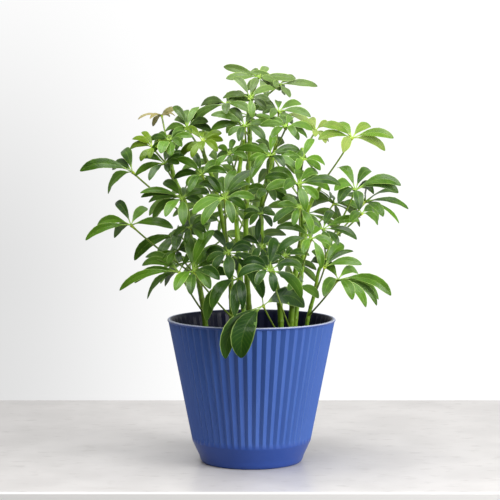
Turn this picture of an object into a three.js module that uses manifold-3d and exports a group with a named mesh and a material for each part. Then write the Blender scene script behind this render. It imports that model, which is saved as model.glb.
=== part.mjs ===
// A bushy umbrella plant: eight upright canes stand in soil in a ribbed, tapered pot, and carry
// palmate leaves on long stalks. The origin is the centre of the pot's flat underside, +Z is up,
// and -Y is the front. Every length is in millimetres.

import * as THREE from 'three';
import { mergeVertices } from 'three/addons/utils/BufferGeometryUtils.js';
import Module from 'manifold-3d';

const wasm = await Module();
wasm.setup();

// Pot
const POT_HEIGHT = 171;
const RIM_RADIUS = 100;
const RIM_HEIGHT = 3.5;
const RIM_WALL = 5;
const WALL_TOP_RADIUS = 99.1;
const BAND_TOP = 25.5;
const BAND_TOP_RADIUS = 70.8;
const HEEL_HEIGHT = 8;
const HEEL_RADIUS = 62.6;
const FOOT_RADIUS = 59;
const FLOOR_THICKNESS = 4;
const RIB_COUNT = 54;
const RIB_DEPTH = 2.2;
const RIB_END_RUN = 2.5;
const RIB_CORNERS = [{ place: 0, sunk: false }, { place: 0.53, sunk: true }];
const FIRST_RIDGE = (-92.97 / 180) * Math.PI;
const CAVITY_FOOT_RADIUS = 56.5;
const CAVITY_BAND_RADIUS = 64.8;
const CAVITY_SEGMENTS = 36;

// Soil
const SOIL_TOP = 143;
const SOIL_CROWN = 3;
const SOIL_SHOULDER = { radius: 50, share: 0.8 };
const CLEARANCE = 0.3;

// Canes and leaf stalks
const CANE_FOOT = 100;
const CANE_FOOT_RADIUS = 3.6;
const CANE_TIP_RADIUS = 2.3;
const CANE_SIDES = 6;
const CANE_STEPS = 8;
const STALK_RADIUS = 1.25;
const STALK_SIDES = 4;
const STALK_STEPS = 3;
const KNOB_FOOT = -2.6;
const KNOB_RADIUS = 3.1;
const KNOB_TOP = 1.8;
const KNOB_TOP_RADIUS = 2.3;
const STALK_SLOPE = 0.75;
const STALK_LEAST_RISE = 12;
const STALK_TRIES = 80;
const STALK_FALLBACK_PLACE = 0.3;
const STALK_LOWEST = SOIL_TOP + 9;
const STALK_BEND_PLACE = 0.55;
const STALK_SAG = 0.05;
const FORK_PLACE = 0.3;
const TWIN_SEED = 100;

// Leaflets
const LEAFLET_ROOT = { reach: 1.3, half: 0.5 };
const LEAFLET_STATIONS = [{ place: 0.46, fullness: 0.86 }, { place: 0.8, fullness: 0.88 }];
const LEAFLET_ASPECT = 0.26;
const LEAFLET_OWN_SHARE = 0.3;
const LEAFLET_WIDTH_LEAST = 8.5;
const LEAFLET_WIDTH_MOST = 17;
const LEAFLET_THICKNESS = 1.3;
const ARCH = 0.13;
const LEAN = 0.6;
const DROOP = -0.17;
const DEPTH_SHARE = 0.75;
const WIDEST_GAP = 1.35;
const FILL_SPACING = 1.15;
const FILL_MOST = 7;
const FILL_BEHIND = 0.3;
const FILL_LENGTH = { least: 0.7, spread: 0.15 };
const RING_LENGTH = { least: 0.82, spread: 0.18 };
const RING_JITTER = 0.3;
const LONGEST_ALLOWANCE = 1.05;
const LONGEST_LEAST = 40;

// The place from which the plant is described: level with its crown, straight in front
const VIEW_DISTANCE = 2189;
const VIEW_HEIGHT = 424;

// Slides along the line of sight that a leaf may make to stand clear of its neighbours
const SLIDE_STEP = 4;
const SLIDE_STEPS = 24;

// Canes: points as [across, up, depth], read on the upright plane through the pot's axis
const CANES = {
  a: [[-55, 163, -8], [-62, 211, -12], [-72, 263, -18], [-78, 306, -22], [-92, 340, -24], [-98, 374, -24]],
  b: [[-23, 163, -28], [-26, 235, -34], [-34, 285, -38], [-44, 330, -40], [-57, 368, -40]],
  c: [[-2, 163, 10], [-7, 252, 6], [-5, 323, 2], [-2, 382, 0], [-3, 418, 0], [3, 440, 0]],
  d: [[35, 163, -16], [31, 205, -22], [13, 264, -30], [13, 310, -34], [22, 350, -34], [30, 380, -30]],
  e: [[47, 163, -38], [54, 238, -48], [61, 280, -52], [57, 318, -52], [58, 352, -46], [60, 374, -40]],
  f: [[52, 163, 14], [58, 212, 16], [62, 252, 18], [67, 300, 18], [80, 325, 16], [88, 338, 14]],
  g: [[66, 163, -12], [76, 205, -14], [80, 228, -14], [90, 248, -14], [96, 268, -12]],
  h: [[-8, 163, 44], [-14, 230, 58], [-18, 300, 70], [-14, 350, 74], [-8, 384, 70]],
};

// Leaves in the order in which they are placed. `at` is the hub as [across, up, depth]; `tips` are
// the leaflets' tips measured from the hub as [across, up, width, depth], the last two only where
// they aren't worked out; `length` is the longest leaflet; `ring` is the number of leaflets of a
// leaf that is described by its length alone; `twin` is a second leaf on a forked stalk.
const LEAVES = [
  // Left side, from the top down
  { cane: 'a', at: [-106, 412, 6], young: true, length: 30,
    tips: [[-28, -5, 6], [-14, -4, 5], [10, -2, 6], [16, -1, 5]] },
  { cane: 'a', at: [-117, 374, -40], young: true,
    tips: [[-24, 10, 9], [-27, -2, 10], [-6, 11, 8], [-13, 18, 8], [15, 12, 9], [27, 0, 10], [18, -6, 9]] },
  { cane: 'a', at: [-103, 355, -62], tips: [[-30, 7], [-35, -15], [-18, -20], [6, 13]] },
  { cane: 'a', at: [-141, 345, -14], arch: 0.15, tips: [[-62, 1], [-24, 3], [-29, -26], [-12, 25]] },
  { cane: 'a', at: [-143, 282, -20], arch: 0.12,
    tips: [[-54, -18], [-40, 0], [-18, 27], [20, 20], [-20, -15], [50, -4]] },
  { cane: 'a', at: [-82, 313, -66],
    tips: [[-50, 7, 9], [-49, 2, 9], [-40, -4, 11], [-35, -23], [-20, -21], [1, -31], [-23, 19, 13]] },
  { cane: 'a', at: [-85, 270, -30], arch: 0.15, tips: [[-54, -30], [-5, -18]] },
  { cane: 'a', at: [-73, 279, -62], tips: [[19, -6], [15, -15], [-20, -14]] },
  { cane: 'a', at: [-86, 226, -70],
    tips: [[-40, 18], [-44, 8], [-71, -22], [-53, -13], [-38, -32], [-17, -17]] },
  { cane: 'b', at: [-70, 227, -92],
    tips: [[-21, -23], [-2, -28], [21, -21], [32, -10], [39, 10], [31, 26], [26, 49], [-5, 39]] },
  // Front of the upper left
  { cane: 'b', at: [-76, 397, -40],
    tips: [[-15, 10], [-2, 21], [-17, 25], [14, 25], [25, 7], [29, -4], [-26, -4], [-23, -13], [-13, -27]] },
  { cane: 'b', at: [-58, 381, -72], young: true,
    tips: [[-20, 15], [-26, -19], [-1, -11], [18, -12], [12, 10], [-1, 12]] },
  { cane: 'b', at: [-59, 342, -84],
    tips: [[-12, 26], [22, 15], [-15, -21], [-33, -5], [29, 2], [-30, 18], [22, -22]] },
  { cane: 'b', at: [-32, 314, -92],
    tips: [[-30, 17], [-38, -19], [-26, -32], [10, -30], [27, 1], [29, 17], [13, 33], [-7, 24], [36, 32]] },
  // Crown
  { cane: 'c', at: [9, 457, -10], arch: 0.04,
    tips: [[-42, 12], [-33, 8], [-39, -2], [10, 12], [42, -3], [26, -15, 15]] },
  { cane: 'c', at: [33, 448, 8], arch: 0.07, tips: [[45, -2], [19, 8], [7, -12], [-12, 4]] },
  { cane: 'c', at: [-2, 432, -26], tips: [[-20, 24], [10, 23], [30, 11], [-32, 0], [-18, -4]] },
  { cane: 'c', at: [-30, 425, -40], tips: [[-30, -2], [-26, -7], [-42, -25], [0, -12], [8, 8]] },
  { cane: 'c', at: [-8, 399, -60],
    tips: [[-40, 13], [-40, -5], [-18, 20], [14, 15], [-7, -18], [36, -1], [24, -17]] },
  { cane: 'd', at: [32, 416, -30],
    tips: [[-1, 12], [27, 9], [38, -6], [-25, 11], [-19, -2], [-10, -7], [8, -11]] },
  { cane: 'd', at: [41, 398, -62], tips: [[-7, 12], [10, -11], [31, -4], [25, -13], [7, 11]] },
  { cane: 'c', at: [-26, 366, -70], length: 34, tips: [[-14, 8], [-15, -4], [21, -6], [6, 17]] },
  { cane: 'd', at: [22, 364, -84],
    tips: [[5, 25], [35, 7], [-40, 7], [32, -17], [17, -13], [-18, -15], [-23, -27]] },
  // Right side, from the top down
  { cane: 'e', at: [76, 394, -16], young: true, tips: [[-33, 19], [-8, 14], [-14, 4], [16, 6]] },
  { cane: 'f', at: [119, 385, -18], young: true,
    tips: [[-40, -2], [-35, 14], [-18, 18], [22, 14], [49, 0], [39, -15], [-11, -17, 15]] },
  { cane: 'e', at: [61, 360, -76], tips: [[13, 24], [-31, 7], [-8, -13], [11, -11], [26, -7]] },
  { cane: 'g', at: [123, 323, -40], arch: 0.18,
    tips: [[-21, 27], [19, 23], [54, 6], [51, -2], [-20, -15], [5, -23], [-25, 0], [22, -4]] },
  { cane: 'g', at: [135, 310, 4], tips: [[39, 10], [51, -9], [21, -18], [40, -26, 8], [0, 13]] },
  { cane: 'g', at: [131, 296, -30], length: 46, tips: [[19, -14], [14, 2], [-14, -10]] },
  { cane: 'e', at: [55, 330, -92],
    tips: [[-33, 5], [2, 17], [24, 14], [32, 0], [-17, -6], [38, -7], [-33, 17], [51, -1]] },
  { cane: 'e', at: [57, 303, -84], tips: [[-6, 11], [15, -30], [-31, -18], [12, 4]] },
  { cane: 'g', at: [85, 277, -60], tips: [[11, 21], [43, 10], [40, -12], [4, -24, 13], [-12, 2]] },
  { cane: 'e', at: [71, 266, -82], arch: 0.17, tips: [[-42, 12], [-39, -17], [18, -12], [12, -36, 11]] },
  { cane: 'g', at: [87, 232, -62], tips: [[23, 26, 17], [44, 3], [-15, 20], [34, 19, 7], [-17, 6]] },
  { cane: 'g', at: [103, 217, -66], length: 56, arch: 0.18,
    tips: [[63, -19], [48, -24, 10], [46, -31, 10], [33, -33, 12], [17, -24, 15], [-17, -20, 15],
      [24, 7, 12]] },
  // Low in the middle
  { cane: 'd', at: [14, 186, -78], length: 66, arch: 0.21,
    tips: [[-26, -63, 27, -36], [-45, -64, 18, -30], [49, -2, 22], [-21, 45, 14]] },
  { cane: 'b', at: [-16, 218, -84], arch: 0.2, tips: [[-4, -45, 15], [-31, -36], [-37, -50], [6, -36, 13]] },
  { cane: 'b', at: [-28, 249, -78], length: 48,
    tips: [[2, -31, 16], [29, 8], [43, -21], [-19, 25], [41, -54, 17]] },
  { cane: 'd', at: [12, 256, -62], length: 42, tips: [[4, -29], [-8, 14], [14, 10], [-10, -18]] },
  { cane: 'e', at: [22, 228, -132], arch: 0.2, tips: [[37, -34], [8, 38, 14], [-14, 8]] },
  { cane: 'e', at: [40, 245, -64], length: 42, tips: [[29, 1], [18, -20], [-6, 16]] },
  { cane: 'd', at: [11, 295, -50], length: 34, tips: [[14, 5], [-13, -2], [-13, -13], [13, -15], [-4, -30]] },
  // Inside and back of the bush
  { cane: 'a', at: [-84, 318, 52], length: 56, ring: 7 },
  { cane: 'h', at: [-52, 306, 118], length: 54, ring: 7, twin: { at: [-70, 240, 92], length: 50, ring: 6 } },
  { cane: 'h', at: [6, 326, 132], length: 60, ring: 7, twin: { at: [2, 262, 126], length: 54, ring: 6 } },
  { cane: 'f', at: [66, 296, 104], length: 58, ring: 7, twin: { at: [44, 236, 92], length: 44, ring: 6 } },
  { cane: 'h', at: [-40, 354, 84], length: 52, ring: 7, twin: { at: [-4, 412, 58], length: 44, ring: 6 } },
  { cane: 'f', at: [24, 366, 74], length: 50, ring: 7 },
  { cane: 'f', at: [98, 308, 50], length: 52, ring: 7 },
  { cane: 'c', at: [-20, 300, 30], length: 42, ring: 7 },
];

const UP = new THREE.Vector3(0, 0, 1);

// A small generator of numbers from 0 to 1 that gives the same row for the same seed
function drawsFrom(seed) {
  let state = seed * 7919 + 12345;
  return () => {
    state = (state * 16807) % 2147483647;
    return state / 2147483647;
  };
}

// Where a point read at `across` and `up` lies at a given depth along its line of sight
function seenPoint([across, up, depth]) {
  const reach = 1 + depth / VIEW_DISTANCE;
  return new THREE.Vector3(across * reach, depth, VIEW_HEIGHT + (up - VIEW_HEIGHT) * reach);
}

// A closed skin over rings of points; a ring of one point closes an end to a tip
function loft(rings) {
  const points = rings.flat();
  const starts = rings.map((ring, i) => rings.slice(0, i).reduce((sum, each) => sum + each.length, 0));
  const faces = [];
  const cap = (start, size, flip) => {
    for (let i = 1; i < size - 1; i += 1) {
      faces.push(flip ? [start, start + i + 1, start + i] : [start, start + i, start + i + 1]);
    }
  };
  cap(starts[0], rings[0].length, true);
  cap(starts.at(-1), rings.at(-1).length, false);
  for (let row = 0; row < rings.length - 1; row += 1) {
    const size = Math.max(rings[row].length, rings[row + 1].length);
    for (let i = 0; i < size; i += 1) {
      const next = (i + 1) % size;
      const low = rings[row].length === 1 ? [0, 0] : [i, next];
      const high = rings[row + 1].length === 1 ? [0, 0] : [i, next];
      const corners = [
        starts[row] + low[0],
        starts[row] + low[1],
        starts[row + 1] + high[1],
        starts[row + 1] + high[0],
      ];
      if (corners[0] !== corners[1]) faces.push([corners[0], corners[1], corners[2]]);
      if (corners[2] !== corners[3]) faces.push([corners[0], corners[2], corners[3]]);
    }
  }
  const geometry = new THREE.BufferGeometry();
  const numbers = points.flatMap((point) => point.toArray());
  geometry.setAttribute('position', new THREE.Float32BufferAttribute(numbers, 3));
  geometry.setIndex(faces.flat());
  return geometry;
}

function solid(geometry) {
  geometry.deleteAttribute('normal');
  geometry.deleteAttribute('uv');
  const merged = mergeVertices(geometry, 1e-4);
  const mesh = new wasm.Mesh({
    numProp: 3,
    vertProperties: new Float32Array(merged.attributes.position.array),
    triVerts: new Uint32Array(merged.index.array),
  });
  return new wasm.Manifold(mesh);
}

function geometryOf(body) {
  const mesh = body.getMesh();
  const geometry = new THREE.BufferGeometry();
  geometry.setAttribute('position', new THREE.BufferAttribute(new Float32Array(mesh.vertProperties), 3));
  geometry.setIndex(new THREE.BufferAttribute(new Uint32Array(mesh.triVerts), 1));
  geometry.computeVertexNormals();
  return geometry;
}

// A tube of a few sides round a path, with a radius for each step
function tubeRings(path, steps, sides, radiusAt) {
  const rings = [];
  for (let step = 0; step <= steps; step += 1) {
    const place = step / steps;
    const centre = path.getPoint(place);
    const along = path.getTangent(place);
    const side = new THREE.Vector3(0, 1, 0).cross(along).normalize();
    const other = new THREE.Vector3().crossVectors(along, side);
    const ring = [];
    for (let i = 0; i < sides; i += 1) {
      const angle = (i / sides) * 2 * Math.PI;
      ring.push(centre.clone()
        .addScaledVector(side, radiusAt(place) * Math.cos(angle))
        .addScaledVector(other, radiusAt(place) * Math.sin(angle)));
    }
    rings.push(ring);
  }
  return rings;
}

// Pot: a shell folded into sharp upright ribs, with a plain rim and a plain, steeper band at its foot
function wallRadius(height) {
  const share = (height - BAND_TOP) / (POT_HEIGHT - RIM_HEIGHT - BAND_TOP);
  return BAND_TOP_RADIUS + share * (WALL_TOP_RADIUS - BAND_TOP_RADIUS);
}

function potSolid() {
  const ribTop = POT_HEIGHT - RIM_HEIGHT;
  const outline = [
    { height: 0, radius: FOOT_RADIUS, groove: 0 },
    { height: HEEL_HEIGHT, radius: HEEL_RADIUS, groove: 0 },
    { height: BAND_TOP, radius: BAND_TOP_RADIUS, groove: 0 },
    { height: BAND_TOP + RIB_END_RUN, radius: wallRadius(BAND_TOP + RIB_END_RUN), groove: RIB_DEPTH },
    { height: ribTop, radius: WALL_TOP_RADIUS, groove: RIB_DEPTH },
    { height: ribTop, radius: RIM_RADIUS, groove: 0 },
    { height: POT_HEIGHT, radius: RIM_RADIUS, groove: 0 },
  ];
  const rings = outline.map(({ height, radius, groove }) => {
    const ring = [];
    for (let rib = 0; rib < RIB_COUNT; rib += 1) {
      for (const { place, sunk } of RIB_CORNERS) {
        const angle = FIRST_RIDGE + ((rib + place) / RIB_COUNT) * 2 * Math.PI;
        const reach = sunk ? radius - groove : radius;
        ring.push(new THREE.Vector3(reach * Math.cos(angle), reach * Math.sin(angle), height));
      }
    }
    return ring;
  });
  const open = cavityOutline(0, POT_HEIGHT + 1);
  return solid(loft(rings)).subtract(solid(uprightLathe([...open, new THREE.Vector2(0, POT_HEIGHT + 1)])));
}

// The outline of the room inside the pot up to a height, drawn in by a clearance
function cavityOutline(clearance, top) {
  const slope = (RIM_RADIUS - RIM_WALL - CAVITY_BAND_RADIUS) / (POT_HEIGHT - BAND_TOP);
  const topRadius = CAVITY_BAND_RADIUS + slope * (top - BAND_TOP);
  return [
    new THREE.Vector2(0, FLOOR_THICKNESS + clearance),
    new THREE.Vector2(CAVITY_FOOT_RADIUS - clearance, FLOOR_THICKNESS + clearance),
    new THREE.Vector2(CAVITY_BAND_RADIUS - clearance, BAND_TOP),
    new THREE.Vector2(topRadius - clearance, top),
  ];
}

function uprightLathe(outline) {
  return new THREE.LatheGeometry(outline, CAVITY_SEGMENTS).rotateX(Math.PI / 2);
}

// Soil: fills the pot to a little below the rim, rises slightly to the middle, and has a plain
// hole for each cane
function soilSolid(canes) {
  const outline = [
    ...cavityOutline(CLEARANCE, SOIL_TOP),
    new THREE.Vector2(SOIL_SHOULDER.radius, SOIL_TOP + SOIL_CROWN * SOIL_SHOULDER.share),
    new THREE.Vector2(0, SOIL_TOP + SOIL_CROWN),
  ];
  const whole = solid(uprightLathe(outline));
  return Object.values(canes).reduce((body, cane) => body.subtract(cane.sleeve), whole);
}

// Canes: tapered upright stems that go well down into the soil
function caneParts(points) {
  const [foot, ...rest] = points.map(seenPoint);
  const path = new THREE.CatmullRomCurve3([new THREE.Vector3(foot.x, foot.y, CANE_FOOT), foot, ...rest]);
  const build = (swell) => {
    const radiusAt = (place) => CANE_FOOT_RADIUS + (CANE_TIP_RADIUS - CANE_FOOT_RADIUS) * place + swell;
    const rings = tubeRings(path, CANE_STEPS, CANE_SIDES, radiusAt);
    rings.push([path.getPoint(1).addScaledVector(path.getTangent(1), CANE_TIP_RADIUS + swell)]);
    return solid(loft(rings));
  };
  return { path, body: build(0), sleeve: build(CLEARANCE) };
}

// The place on a cane from which a stalk rises to a hub at a natural slope
function stalkFoot(path, hub) {
  for (let i = STALK_TRIES; i >= 0; i -= 1) {
    const point = path.getPoint(i / STALK_TRIES);
    const away = Math.hypot(hub.x - point.x, hub.y - point.y);
    const steepEnough = hub.z - point.z >= Math.max(STALK_SLOPE * away, STALK_LEAST_RISE);
    if (steepEnough || point.z < STALK_LOWEST) return point;
  }
  return path.getPoint(STALK_FALLBACK_PLACE);
}

function stalkPath(foot, hub) {
  const rise = hub.clone().sub(foot);
  const middle = foot.clone()
    .addScaledVector(rise, STALK_BEND_PLACE)
    .addScaledVector(UP, -STALK_SAG * rise.length());
  return new THREE.QuadraticBezierCurve3(foot, middle, hub);
}

// A stalk with the small knob at its end from which the leaflets spread
function stalkSolid(path, swell) {
  const rings = tubeRings(path, STALK_STEPS, STALK_SIDES, () => STALK_RADIUS + swell);
  const end = rings.pop();
  const hub = path.getPoint(1);
  const along = path.getTangent(1);
  const ringAt = (reach, radius) => end.map((point) => hub.clone()
    .addScaledVector(point.clone().sub(hub).normalize(), radius + swell)
    .addScaledVector(along, reach));
  rings.push(ringAt(KNOB_FOOT, STALK_RADIUS));
  rings.push(ringAt(0, KNOB_RADIUS));
  rings.push(ringAt(KNOB_TOP + swell, KNOB_TOP_RADIUS));
  return solid(loft(rings));
}

// The direction that a leaf's umbrella faces: upwards, and leaning out from the bush
function umbrellaAxis(hub) {
  const outward = new THREE.Vector3(hub.x, hub.y, 0).normalize();
  return outward.multiplyScalar(Math.tan(LEAN)).add(UP).normalize();
}

// How a leaflet that is seen at a slant runs in depth: its length beyond what is seen goes towards
// or away from the front, whichever keeps it nearer to the umbrella's own spread
function tipInDepth([across, up], length, axis) {
  const seen = Math.hypot(across, up);
  const whole = seen + DEPTH_SHARE * Math.max(length - seen, 0);
  const depth = Math.sqrt(whole * whole - seen * seen);
  const off = (sign) => Math.abs((across * axis.x + sign * depth * axis.y + up * axis.z) / whole - DROOP);
  return { depth: off(-1) < off(1) ? -depth : depth, whole };
}

function leafletsOf(leaf, hub, seed) {
  const axis = umbrellaAxis(hub);
  const draw = drawsFrom(seed);
  const sideways = new THREE.Vector3().crossVectors(UP, axis).normalize();
  const forward = new THREE.Vector3().crossVectors(axis, sideways);
  const tips = leaf.tips ?? [];
  const seenLengths = tips.map(([across, up]) => Math.hypot(across, up));
  const longest = leaf.length ?? LONGEST_ALLOWANCE * Math.max(...seenLengths, LONGEST_LEAST);
  const leaflets = tips.map(([across, up, width, givenDepth]) => {
    const { depth, whole } = tipInDepth([across, up], longest, axis);
    const tip = seenPoint([leaf.at[0] + across, leaf.at[1] + up, hub.y + (givenDepth ?? depth)]);
    return { tip, width: width ?? leafletWidth(whole, longest) };
  });
  const fromAngle = (angle, length) => {
    const flat = Math.sqrt(1 - DROOP * DROOP);
    const tip = hub.clone()
      .addScaledVector(sideways, length * flat * Math.cos(angle))
      .addScaledVector(forward, length * flat * Math.sin(angle))
      .addScaledVector(axis, length * DROOP);
    return { tip, width: leafletWidth(length, longest) };
  };
  if (leaf.ring) {
    const turn = draw() * 2 * Math.PI;
    for (let i = 0; i < leaf.ring; i += 1) {
      const angle = turn + ((i + RING_JITTER * (draw() - 0.5)) / leaf.ring) * 2 * Math.PI;
      leaflets.push(fromAngle(angle, leaf.length * (RING_LENGTH.least + RING_LENGTH.spread * draw())));
    }
    return leaflets;
  }
  // Leaflets that close the wide gaps at the back of a leaf
  const angles = leaflets
    .map(({ tip }) => tip.clone().sub(hub))
    .map((run) => Math.atan2(run.dot(forward), run.dot(sideways)))
    .sort((one, two) => one - two);
  angles.forEach((angle, i) => {
    const next = i + 1 < angles.length ? angles[i + 1] : angles[0] + 2 * Math.PI;
    const parts = Math.min(Math.round((next - angle) / FILL_SPACING), FILL_MOST);
    for (let part = 1; next - angle > WIDEST_GAP && part < parts; part += 1) {
      const length = longest * (FILL_LENGTH.least + FILL_LENGTH.spread * draw());
      const leaflet = fromAngle(angle + ((next - angle) * part) / parts, length);
      if (leaflet.tip.y > hub.y + FILL_BEHIND * longest) leaflets.push(leaflet);
    }
  });
  return leaflets;
}

// A leaflet's width follows its leaf's longest leaflet more than its own length
function leafletWidth(length, longest) {
  const typical = LEAFLET_OWN_SHARE * length + (1 - LEAFLET_OWN_SHARE) * longest;
  return Math.min(Math.max(LEAFLET_ASPECT * typical, LEAFLET_WIDTH_LEAST), LEAFLET_WIDTH_MOST);
}

// A leaflet: a thin blade that hangs in an arch, flat on top, with a shallow keel along its rib
function leafletSolid(hub, { tip, width }, axis, arch, swell) {
  const run = tip.clone().sub(hub);
  const length = run.length();
  const acrossRun = (direction) => direction.clone()
    .addScaledVector(run, -direction.dot(run) / (length * length))
    .normalize();
  const lift = acrossRun(axis);
  const middle = hub.clone().addScaledVector(run, 0.5).addScaledVector(acrossRun(UP), 2 * arch * length);
  const path = new THREE.QuadraticBezierCurve3(hub, middle, tip);
  const stations = [
    { place: LEAFLET_ROOT.reach / length, half: LEAFLET_ROOT.half + swell },
    ...LEAFLET_STATIONS.map(({ place, fullness }) => ({ place, half: (fullness * width) / 2 + swell })),
  ];
  const rings = stations.map(({ place, half }) => {
    const centre = path.getPoint(place);
    const along = path.getTangent(place);
    const side = new THREE.Vector3().crossVectors(along, lift).normalize();
    const normal = new THREE.Vector3().crossVectors(side, along);
    return [
      centre.clone().addScaledVector(side, -half).addScaledVector(normal, swell),
      centre.clone().addScaledVector(side, half).addScaledVector(normal, swell),
      centre.clone().addScaledVector(normal, -LEAFLET_THICKNESS - swell),
    ];
  });
  rings.push([path.getPoint(1).addScaledVector(path.getTangent(1), swell)]);
  return solid(loft(rings));
}

function joined(bodies) {
  return bodies.reduce((whole, body) => whole.add(body));
}

// The blades and stalk of a leaf, and of the second leaf where its stalk forks
function leafParts(leaf, slide, seed, canePath, swell) {
  const hub = seenPoint([leaf.at[0], leaf.at[1], leaf.at[2] + slide]);
  const axis = umbrellaAxis(hub);
  const blades = leafletsOf(leaf, hub, seed)
    .map((leaflet) => leafletSolid(hub, leaflet, axis, leaf.arch ?? ARCH, swell));
  const path = stalkPath(stalkFoot(canePath, hub), hub);
  const parts = { blades: joined(blades), stalk: stalkSolid(path, swell) };
  if (leaf.twin) {
    const fork = { getPoint: () => path.getPoint(FORK_PLACE) };
    const twin = leafParts({ ...leaf, twin: null, ...leaf.twin }, slide, seed + TWIN_SEED, fork, swell);
    return { blades: parts.blades.add(twin.blades).add(twin.stalk), stalk: parts.stalk };
  }
  return parts;
}

function touches(one, two) {
  const a = one.boundingBox();
  const b = two.boundingBox();
  const apart = [0, 1, 2].some((i) => a.min[i] > b.max[i] || b.min[i] > a.max[i]);
  return !apart && !one.intersect(two).isEmpty();
}

// Slides a leaf along its line of sight to the nearest place where it is clear of everything
function placedLeaf(leaf, seed, canes, placed) {
  const cane = canes[leaf.cane];
  const others = placed.filter((body) => body !== cane.body);
  for (let step = 0; step <= SLIDE_STEPS; step += 1) {
    const slide = Math.ceil(step / 2) * (step % 2 ? -SLIDE_STEP : SLIDE_STEP);
    const { blades, stalk } = leafParts(leaf, slide, seed, cane.path, CLEARANCE);
    const clear = !others.some((body) => touches(blades, body) || touches(stalk, body));
    if (clear && !touches(blades, cane.body)) {
      const parts = leafParts(leaf, slide, seed, cane.path, 0);
      return parts.blades.add(parts.stalk).subtract(cane.sleeve);
    }
  }
  throw new Error(`leaf ${seed} at ${leaf.at} finds no clear place`);
}

const group = new THREE.Group();

function addMesh(name, geometry, material) {
  const mesh = new THREE.Mesh(geometry, material);
  mesh.name = name;
  group.add(mesh);
}

const potPlastic = new THREE.MeshStandardMaterial({ color: 0x2b4a94, roughness: 0.38, metalness: 0 });
const pottingSoil = new THREE.MeshStandardMaterial({ color: 0x2a1f17, roughness: 0.95, metalness: 0 });
const greenCane = new THREE.MeshStandardMaterial({ color: 0x7f9a3a, roughness: 0.5, metalness: 0 });
const matureLeaf = new THREE.MeshStandardMaterial({ color: 0x3c6b2a, roughness: 0.32, metalness: 0 });
const youngLeaf = new THREE.MeshStandardMaterial({ color: 0x6fa034, roughness: 0.35, metalness: 0 });

const canes = Object.fromEntries(Object.entries(CANES).map(([name, points]) => [name, caneParts(points)]));
const pot = potSolid();
const soil = soilSolid(canes);
const placed = [pot, soil, ...Object.values(canes).map((cane) => cane.body)];

addMesh('pot', geometryOf(pot), potPlastic);
addMesh('soil', geometryOf(soil), pottingSoil);
for (const [name, cane] of Object.entries(canes)) addMesh(`cane_${name}`, geometryOf(cane.body), greenCane);
LEAVES.forEach((leaf, i) => {
  const body = placedLeaf(leaf, i + 1, canes, placed);
  placed.push(body);
  addMesh(`leaf_${String(i + 1).padStart(2, '0')}`, geometryOf(body), leaf.young ? youngLeaf : matureLeaf);
});

export default group;
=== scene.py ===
# A bushy umbrella plant with palmate leaves on green canes, standing in soil in a pleated blue
# plastic pot. Lengths are metres where they carry MM or come from the frame, and millimetres in the
# plant's own tables. +Z is up and -Y is the front. The sections follow the plant as it is put together.

import math
import random

import bmesh
import bpy
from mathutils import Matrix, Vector
from mathutils.kdtree import KDTree


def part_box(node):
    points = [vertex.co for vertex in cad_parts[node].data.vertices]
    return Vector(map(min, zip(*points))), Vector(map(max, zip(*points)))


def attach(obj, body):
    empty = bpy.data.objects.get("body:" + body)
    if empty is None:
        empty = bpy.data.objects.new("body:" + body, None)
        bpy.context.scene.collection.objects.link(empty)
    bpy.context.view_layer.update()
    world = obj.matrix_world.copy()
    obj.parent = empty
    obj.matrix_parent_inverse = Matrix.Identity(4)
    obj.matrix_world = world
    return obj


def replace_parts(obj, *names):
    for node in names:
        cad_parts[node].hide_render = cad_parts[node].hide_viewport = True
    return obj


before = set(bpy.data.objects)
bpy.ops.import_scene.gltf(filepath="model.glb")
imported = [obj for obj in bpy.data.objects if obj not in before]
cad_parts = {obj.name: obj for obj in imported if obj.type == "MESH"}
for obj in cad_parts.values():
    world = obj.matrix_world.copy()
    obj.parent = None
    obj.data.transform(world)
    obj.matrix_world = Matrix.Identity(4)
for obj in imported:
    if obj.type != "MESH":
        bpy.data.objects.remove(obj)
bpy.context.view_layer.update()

# Pot
# One moulded shell of satin royal-blue plastic, folded into sharp upright pleats between a plain
# rounded lip and a plain, steeper foot band. Its inside is nearly black. It stands on its flat foot.
MM = 0.001
TURN = 2 * math.pi

_, POT_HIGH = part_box("pot")
LIP_RADIUS = POT_HIGH.x
LIP_TOP = POT_HIGH.z
LIP_HEIGHT = 2.8 * MM
LIP_WALL = 5 * MM
WALL_TOP_INSET = 0.9 * MM
BAND_TOP = 25.5 * MM
BAND_TOP_RADIUS = 70.8 * MM
HEEL_HEIGHT = 8 * MM
HEEL_RADIUS = 62.6 * MM
FOOT_RADIUS = 59 * MM
FOOT_RECESS = 1.2 * MM
FOOT_RECESS_SLOPE = 2 * MM
FOOT_RING = 5 * MM
FLOOR_TOP = 4.3 * MM
CAVITY_FOOT_RADIUS = 56.5 * MM
CAVITY_BAND_RADIUS = 64.8 * MM
PLEAT_COUNT = 54
PLEAT_DEPTH = 2.5 * MM
PLEAT_INNER_SHARE = 0.55
PLEAT_LIT_SHARE = 0.53
PLEAT_FIRST_RIDGE = math.radians(-92.97)
PLEAT_END_RUN = 7 * MM
# Places of the shell's columns within a pleat, close together at its ridge and at its valley
PLEAT_COLUMNS = (0, 0.03, 0.27, 0.5, 0.53, 0.56, 0.76, 0.97)
PLEAT_END_SHARES = (0, 0.25, 0.5, 0.75, 1)
BAND_HEIGHTS = (HEEL_HEIGHT, 12 * MM, 18 * MM, BAND_TOP - 0.6 * MM)
WALL_HEIGHTS = (60 * MM, 90 * MM, 120 * MM, 150 * MM, LIP_TOP - LIP_HEIGHT - 1 * MM, LIP_TOP - LIP_HEIGHT)
# Where the pleats fade in below the lip's top on the inside, as (depth, pleat weight)
CAVITY_PLEATS_START = ((2 * MM, 0), (4 * MM, 0.4), (7 * MM, 1))
CAVITY_HEIGHTS = (150 * MM, 138 * MM, 90 * MM)
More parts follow.
